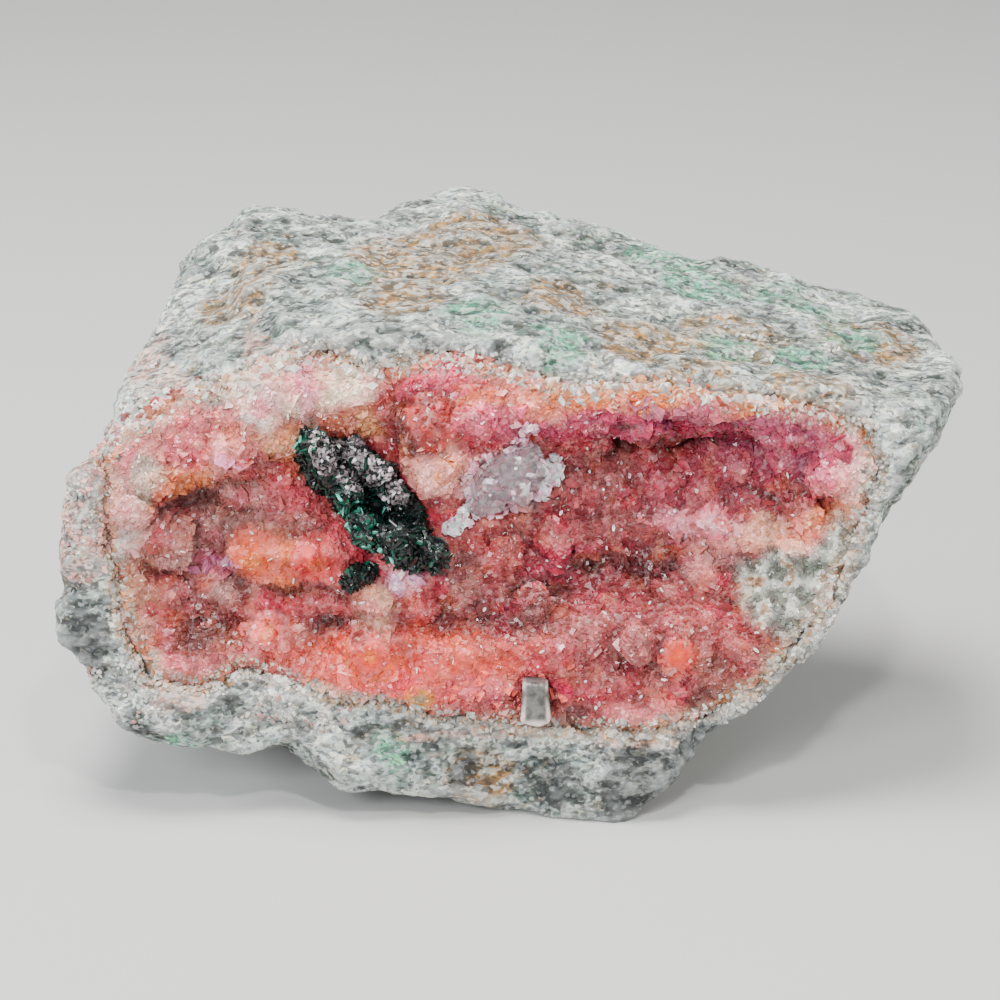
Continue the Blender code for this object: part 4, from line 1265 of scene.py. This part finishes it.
def makeRimGrains():
    rng = np.random.default_rng(41)
    inner, outer = rimGrains["band"]

    def inPatches(x, z):
        share = np.zeros(len(x))
        for *patch, pink in rimGrains["patches"].values():
            share = np.maximum(share, (pink + 1) * (awayFrom(x, z, *patch) < 1))
        return share

    def nearEdge(middle, facing):
        patch = (inPatches(middle[:, 0], middle[:, 2]) > 0) & (facing[:, 1] < -0.45)
        return ((edgeDistance(middle) < outer) | patch) & (facing[:, 1] < 0.5) & (middle[:, 1] < 0)

    def justInside(middle, facing):
        return (edgeDistance(middle) < inner) & (facing[:, 1] < 0.1)

    onRock = surfaceSamples(rockSkin, rimGrains["tries"] * 2 // 3, rng, nearEdge)
    onBed = surfaceSamples(crustBed, rimGrains["tries"] // 3, rng, justInside)
    at, out = (np.concatenate(pair) for pair in zip(onRock, onBed))
    order = rng.permutation(len(at))
    at, out = at[order], out[order]
    gap = edgeDistance(at / mm)
    patchy = noiseAt(at / mm, 1.8, 5.0)
    patch = inPatches(at[:, 0] / mm, at[:, 2] / mm)
    keep = rng.random(len(at)) < np.maximum(smoothStep(1.5 - 1.5 * gap / outer + 1.4 * patchy),
                                            (patch > 0) * smoothStep(0.5 + 2.5 * patchy))
    at, out, gap, patch = at[keep], out[keep], gap[keep], patch[keep]
    kept = spreadOut(at, rng.uniform(*rimGrains["spacing"], len(at)) * mm)
    at, out, gap, patch = at[kept], out[kept], gap[kept], patch[kept]
    count = len(at)
    warm = (smoothStep(0.8 - gap / 1.4 + 1.6 * noiseAt(at / mm, 2.4, 9.0)) * rng.random(count))[:, None]
    cold = (smoothStep(0.1 + noiseAt(at / mm, 1.6, 15.0) * 2.4) * smoothStep(gap / 1.2))[:, None]
    tints = np.array(rimGrains["cream"]) * (1 - warm) + np.array(rimGrains["orange"]) * warm
    tints = tints * (1 - cold) + np.array(rimGrains["grey"]) * cold
    pink = (rng.random(count) < (patch - 1) * (0.5 + noiseAt(at / mm, 2.2, 25.0)))[:, None]
    tints = np.where(pink, np.array(rimGrains["pink"]), tints)
    glassy = (rng.random((count, 1)) < rimGrains["glassyShare"]) & ~pink
    tints = np.where(glassy, np.array(rimGrains["clear"]), tints)
    tints = tints * rng.uniform(*rimGrains["lightness"], (count, 1))
    seam = 1 + rimGrains["seamGrowth"] * smoothStep(1 - gap / rimGrains["seamReach"])[:, None]
    sizes = rng.uniform(*rimGrains["size"], (count, 1)) * rng.uniform(0.6, 1.3, (count, 3)) * seam * mm
    turns = turnsAround(out, rng, rimGrains["lean"])
    feet = at - out * sizes[:, :1] * 0.05
    piece = grow("rimGrains", flatRhomb, feet, turns, sizes, np.clip(tints, 0, 0.9))
    dress(piece, crystalMaterial("paleGrains", 0.1, (0.2, 0.6), 0.15), "host_rock")
    print("rim grains", count)


def fillSeam():
    # larger grains in the groove between the crust and the rock, as deep as the nearest crust
    rng = np.random.default_rng(43)
    edge = np.array(crustEdge)
    along = np.roll(edge, -1, axis=0) - edge
    lengths = np.linalg.norm(along, axis=1)
    chosen = rng.choice(len(edge), seamGrains["count"], p=lengths / lengths.sum())
    flat = edge[chosen] + rng.random((len(chosen), 1)) * along[chosen]
    flat += rng.normal(size=flat.shape) * seamGrains["scatter"]
    front = pointsOf(crustBed)[normalsOf(crustBed)[:, 1] < 0.2] / mm
    nearest = [np.argmin(np.abs(front[:, 0] - x) + np.abs(front[:, 2] - z)) for x, z in flat]
    at = np.stack([flat[:, 0], front[nearest, 1] + seamGrains["behind"], flat[:, 1]], axis=1)
    count = len(at)
    tints = crustTints(at, 3.0)
    kinds = np.array([rimGrains[kind] for kind in seamGrains["kinds"]])
    tints = np.where(rng.random((count, 1)) < 0.5, kinds[rng.integers(len(kinds), size=count)], tints)
    tints = tints * rng.uniform(0.5, 1.0, (count, 1))
    sizes = rng.uniform(*seamGrains["size"], (count, 1)) * rng.uniform(0.7, 1.3, (count, 3)) * mm
    outward = np.array((0, -1, frontLean)) / math.hypot(1, frontLean)
    turns = turnsAround(np.tile(outward, (count, 1)), rng, (0.0, 1.5))
    piece = grow("seamGrains", flatRhomb, at * mm, turns, sizes, np.clip(tints, 0, 0.9))
    dress(piece, crystalMaterial("seamGrains", 0.1, (0.2, 0.6), 0.15), "host_rock")
    print("seam grains", count)


makeRimGrains()
fillSeam()


# Malachite: the cluster and the sprig, their blades, and the lilac druse on top

malachite = {
    "deep": (0.002, 0.020, 0.014),
    "green": (0.004, 0.075, 0.045),
    "mint": (0.12, 0.55, 0.42),
    "black": (0.004, 0.006, 0.006),
    "greenShare": 0.05,
    "bladeWidth": (0.24, 0.55),
    "bladeSpacing": 0.30,
    "lean": (0.5, 1.5),
    "brightSpots": (  # x, z and reach of the places that hold the brighter green
        (-16.8, 31.2, 1.3), (-12.6, 24.6, 1.9), (-8.4, 26.4, 0.6), (-11.2, 22.8, 1.4), (-14.2, 26.0, 1.2),
    ),
}
lilacDruse = {
    "patch": (-12.4, 28.6, 4.6, 2.0, -38.0),  # x, z, reach along it and across it, and its turn
    "count": 900,
    "size": (0.16, 0.42),
    "spacing": 0.2,
    "patchSize": 0.9,  # the druse grows in patches of about this size
    "patchLevel": -0.22,
    "paleShare": 0.14,
    "lift": 0.1,
    "tint": (0.22, 0.185, 0.20),
    "pale": (0.64, 0.57, 0.60),
}


def malachiteMaterial():
    g = Graph("malachite")
    bands = g.noise(0.9, 5, 0.6, g.stretched((1.0, 1.0, 2.0), (0, 35, 0)))
    colour = g.ramp(bands, (0.42, malachite["black"]), (0.58, malachite["deep"]), (0.80, malachite["green"]))
    rough = g.ramp(g.noise(0.5, 4), (0.3, 0.12), (0.7, 0.5))
    relief = g.bump(g.cells(0.45, output="Distance"), 0.2, 0.8)
    return g.finish(Base_Color=colour, Roughness=rough, Normal=relief)


def bladeMaterial():
    g = Graph("malachiteBlades")
    colour = g.mix(1.0, g.attribute("tint"), g.ramp(g.noise(0.4, 3), (0.3, 0.6), (0.7, 1.3)), "MULTIPLY")
    return g.finish(Base_Color=colour, Roughness=g.ramp(g.noise(0.5), (0.3, 0.08), (0.7, 0.35)))


def makeMalachite(node, name, bladeCount, bladeLength, seed):
    core = copyOfNode(node, name)
    remesh(core, 0.15, 2)
    roughen(core, "VORONOI", 0.9, 0.45)
    roughen(core, "CLOUDS", 0.4, 0.16)
    core.data.shade_flat()
    dress(core, malachiteMaterial(), "malachite", node)
    rng = np.random.default_rng(seed)

    def outside(middle, facing):
        return facing[:, 1] < 0.2

    at, out = surfaceSamples(core, bladeCount * 6, rng, outside)
    kept = spreadOut(at, np.full(len(at), malachite["bladeSpacing"] * mm))[:bladeCount]
    at, out = at[kept], out[kept]
    count = len(at)
    length = rng.uniform(*bladeLength, count) * mm
    wide = rng.uniform(*malachite["bladeWidth"], count) * mm
    sizes = np.stack([wide, wide * rng.uniform(0.5, 0.9, count), length], axis=1)
    bright = np.zeros(count)
    for x, z, reach in malachite["brightSpots"]:
        away = np.hypot(at[:, 0] / mm - x, at[:, 2] / mm - z)
        bright = np.maximum(bright, smoothStep(1.5 - away / reach))
    pick = rng.random(count)
    pick, bright = pick[:, None], bright[:, None]
    tints = np.where(pick < 0.75 - 0.5 * bright, malachite["black"], malachite["deep"])
    tints = np.where(pick > 1 - malachite["greenShare"] - 0.5 * bright, malachite["green"], tints)
    tints = np.where(pick > 1.0 - 0.14 * bright, malachite["mint"], tints)
    turns = turnsAround(out, rng, malachite["lean"])
    feet = at + out * (length * 0.08)[:, None]
    blades = grow(name + "Blades", bladeShape(5, 0.75), feet, turns, sizes, tints)
    dress(blades, bladeMaterial(), "malachite")
    return core


def growLilac(core):
    rng = np.random.default_rng(53)

    def upper(middle, facing):
        return (facing[:, 1] < 0.1) & (awayFrom(middle[:, 0], middle[:, 2], *lilacDruse["patch"]) < 1)

    at, out = surfaceSamples(core, lilacDruse["count"] * 3, rng, upper)
    grown = noiseAt(at / mm, lilacDruse["patchSize"], 3.0) > lilacDruse["patchLevel"]
    at, out = at[grown], out[grown]
    kept = spreadOut(at, np.full(len(at), lilacDruse["spacing"] * mm))[: lilacDruse["count"]]
    at, out = at[kept], out[kept]
    count = len(at)
    sizes = rng.uniform(*lilacDruse["size"], (count, 1)) * rng.uniform(0.7, 1.3, (count, 3)) * mm
    tints = np.array(lilacDruse["tint"]) * rng.uniform(0.3, 1.3, (count, 1))
    tints = np.where(rng.random((count, 1)) > 1 - lilacDruse["paleShare"], lilacDruse["pale"], tints)
    turns = turnsAround(out, rng, (0.2, 1.5))
    piece = grow("lilacDruse", lensRhomb, at + out * lilacDruse["lift"] * mm, turns, sizes, tints)
    dress(piece, crystalMaterial("lilacDruse", 0.2, (0.05, 0.3), 0.1), "malachite")
    print("lilac druse", count)


malachiteCore = makeMalachite("malachite_cluster", "malachiteCluster", 760, (0.40, 0.95), 51)
makeMalachite("malachite_sprig", "malachiteSprig", 140, (0.3, 0.5), 52)
growLilac(malachiteCore)
print("malachite placed")


# Clear crystals and the grey cleaved block

clear = {
    "index": 1.55,
    "roughness": 0.05,
    "through": 0.95,  # share of the light that goes through
    "absorb": (0.98, 0.97, 0.98),
    "density": 1.0,
    "haze": (0.96, 0.86, 0.89),
    "bright": (1.0, 0.98, 0.99),
    "edgeWear": 0.07,
}
whitePatches = {  # x, z, reach along and across, turn, count, tint: small white and lilac crystals
    "aboveLeft": (0.6, 30.0, 2.2, 0.8, 60.0, 50, (0.86, 0.52, 0.60)),
    "lowLeft": (-3.4, 24.6, 2.6, 0.9, 30.0, 90, (0.84, 0.78, 0.79)),
    "left": (-2.8, 27.6, 1.8, 1.4, 40.0, 60, (0.90, 0.62, 0.66)),
    "right": (2.8, 26.2, 2.1, 1.0, 70.0, 70, (0.92, 0.88, 0.88)),
    "under": (-0.6, 24.6, 1.9, 0.9, 20.0, 60, (0.84, 0.46, 0.54)),
    "among": (-0.2, 27.2, 2.6, 1.8, 35.0, 90, (0.95, 0.88, 0.93)),
}


whiteDruse = {
    "onClear": 22,  # how many stand on the clear crystals themselves
    "onClearTint": (0.95, 0.91, 0.93),
    "size": (0.25, 0.62),
    "stretch": (0.5, 1.5),
    "pinkShare": 0.3,
    "pink": (1.0, 0.62, 0.76),  # what the tint of a pink one is multiplied by
    "lift": 0.25,
}


def makeClear():
    g = Graph("clearCrystal")
    g.shader.inputs["Transmission Weight"].default_value = clear["through"]
    g.shader.inputs["IOR"].default_value = clear["index"]
    g.shader.inputs["Roughness"].default_value = clear["roughness"]
    haze = g.ramp(g.noise(0.9, 5, 0.65), (0.35, clear["haze"]), (0.6, clear["bright"]))
    g.finish(Base_Color=haze, Normal=g.bump(g.noise(0.5, 4), 0.08, 0.5))
    volume = g.add("ShaderNodeVolumeAbsorption")
    volume.inputs["Color"].default_value = (*clear["absorb"], 1)
    volume.inputs["Density"].default_value = clear["density"]
    output = next(n for n in g.tree.nodes if n.type == "OUTPUT_MATERIAL")
    g.wire(volume.outputs["Volume"], output.inputs["Volume"])
    piece = copyOfNode("clear_crystals", "clearCrystals")
    step = piece.modifiers.new("wornEdges", "BEVEL")
    step.width = clear["edgeWear"] * mm
    step.segments = 1
    step.limit_method = "ANGLE"
    applyAll(piece)
    piece.data.shade_flat()
    dress(piece, g.material, "clear_crystal", "clear_crystals")
    return piece


def growWhite(clearPiece):
    rng = np.random.default_rng(61)

    def front(middle, facing):
        return (facing[:, 1] < 0.1) & insideEdge(middle[:, 0], middle[:, 2])

    def clearFront(middle, facing):
        return facing[:, 1] < 0.1

    at, out = surfaceSamples(crustBed, placesTried, rng, front)
    x, z = at[:, 0] / mm, at[:, 2] / mm
    places, outs, tints = [], [], []
    for *patch, count, tint in whitePatches.values():
        within = np.where(awayFrom(x, z, *patch) < 1)[0][:count]
        places.append(at[within])
        outs.append(out[within])
        tints.append(np.array(tint) * rng.uniform(0.75, 1.12, (len(within), 1)))
    onClear, outClear = surfaceSamples(clearPiece, whiteDruse["onClear"], rng, clearFront)
    places.append(onClear)
    outs.append(outClear)
    tints.append(np.array(whiteDruse["onClearTint"]) * rng.uniform(0.85, 1.0, (len(onClear), 1)))
    at, out, tints = np.concatenate(places), np.concatenate(outs), np.concatenate(tints)
    isPink = rng.random((len(at), 1)) < whiteDruse["pinkShare"]
    tints = np.where(isPink, tints * np.array(whiteDruse["pink"]), tints)
    sizes = rng.uniform(*whiteDruse["size"], (len(at), 1))
    sizes = sizes * rng.uniform(*whiteDruse["stretch"], (len(at), 3)) * mm
    turns = turnsAround(out, rng, (0.2, 1.5))
    feet = at + out * whiteDruse["lift"] * mm
    piece = grow("whiteDruse", flatRhomb, feet, turns, sizes, np.clip(tints, 0, 0.93))
    dress(piece, crystalMaterial("whiteDolomite", 0.0, (0.04, 0.25), 0.35, (0.35, 0.6, 1.2)), "clear_crystal")
    print("white druse", len(at))


greyBlock = {
    "body": (0.15, 0.145, 0.135),
    "smoke": (0.065, 0.062, 0.058),
    "edge": (0.70, 0.60, 0.56),
    "paleFrom": 0.55,  # share of the way from the middle to an edge where the edge's colour starts
    "paleOver": 0.35,
    "glow": 0.2,
    "edgeWear": 0.12,
}


def makeGreyBlock():
    piece = copyOfNode("grey_crystal", "greyBlock")
    step = piece.modifiers.new("wornEdges", "BEVEL")
    step.width = greyBlock["edgeWear"] * mm
    step.segments = 2
    step.limit_method = "ANGLE"
    applyAll(piece)
    remesh(piece, 0.1, 1)
    roughen(piece, "CLOUDS", 0.8, 0.16)
    low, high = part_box("grey_crystal")
    middle, half = (np.array(low) + np.array(high)) / 2, (np.array(high) - np.array(low)) / 2
    share = np.abs((pointsOf(piece) - middle) / half)
    share.sort(axis=1)
    pale = smoothStep((share[:, 1] - greyBlock["paleFrom"]) / greyBlock["paleOver"])
    paint(piece, "edge", np.repeat(pale[:, None], 3, axis=1))
    g = Graph("greyCrystal")
    body = g.mix(g.ramp(g.noise(1.1, 4), (0.42, 0.0), (0.58, 1.0)), greyBlock["smoke"], greyBlock["body"])
    colour = g.mix(g.attribute("edge", "Fac"), body, greyBlock["edge"])
    g.shader.inputs["Subsurface Weight"].default_value = greyBlock["glow"]
    g.shader.inputs["Subsurface Scale"].default_value = 0.6 * mm
    material = g.finish(Base_Color=colour, Roughness=g.ramp(g.noise(0.6), (0.3, 0.12), (0.7, 0.4)),
                        Normal=g.bump(g.noise(0.4, 5), 0.1, 0.5))
    piece.data.shade_smooth()
    dress(piece, material, "grey_crystal", "grey_crystal")


growWhite(makeClear())
makeGreyBlock()
print("clear and grey crystals placed")
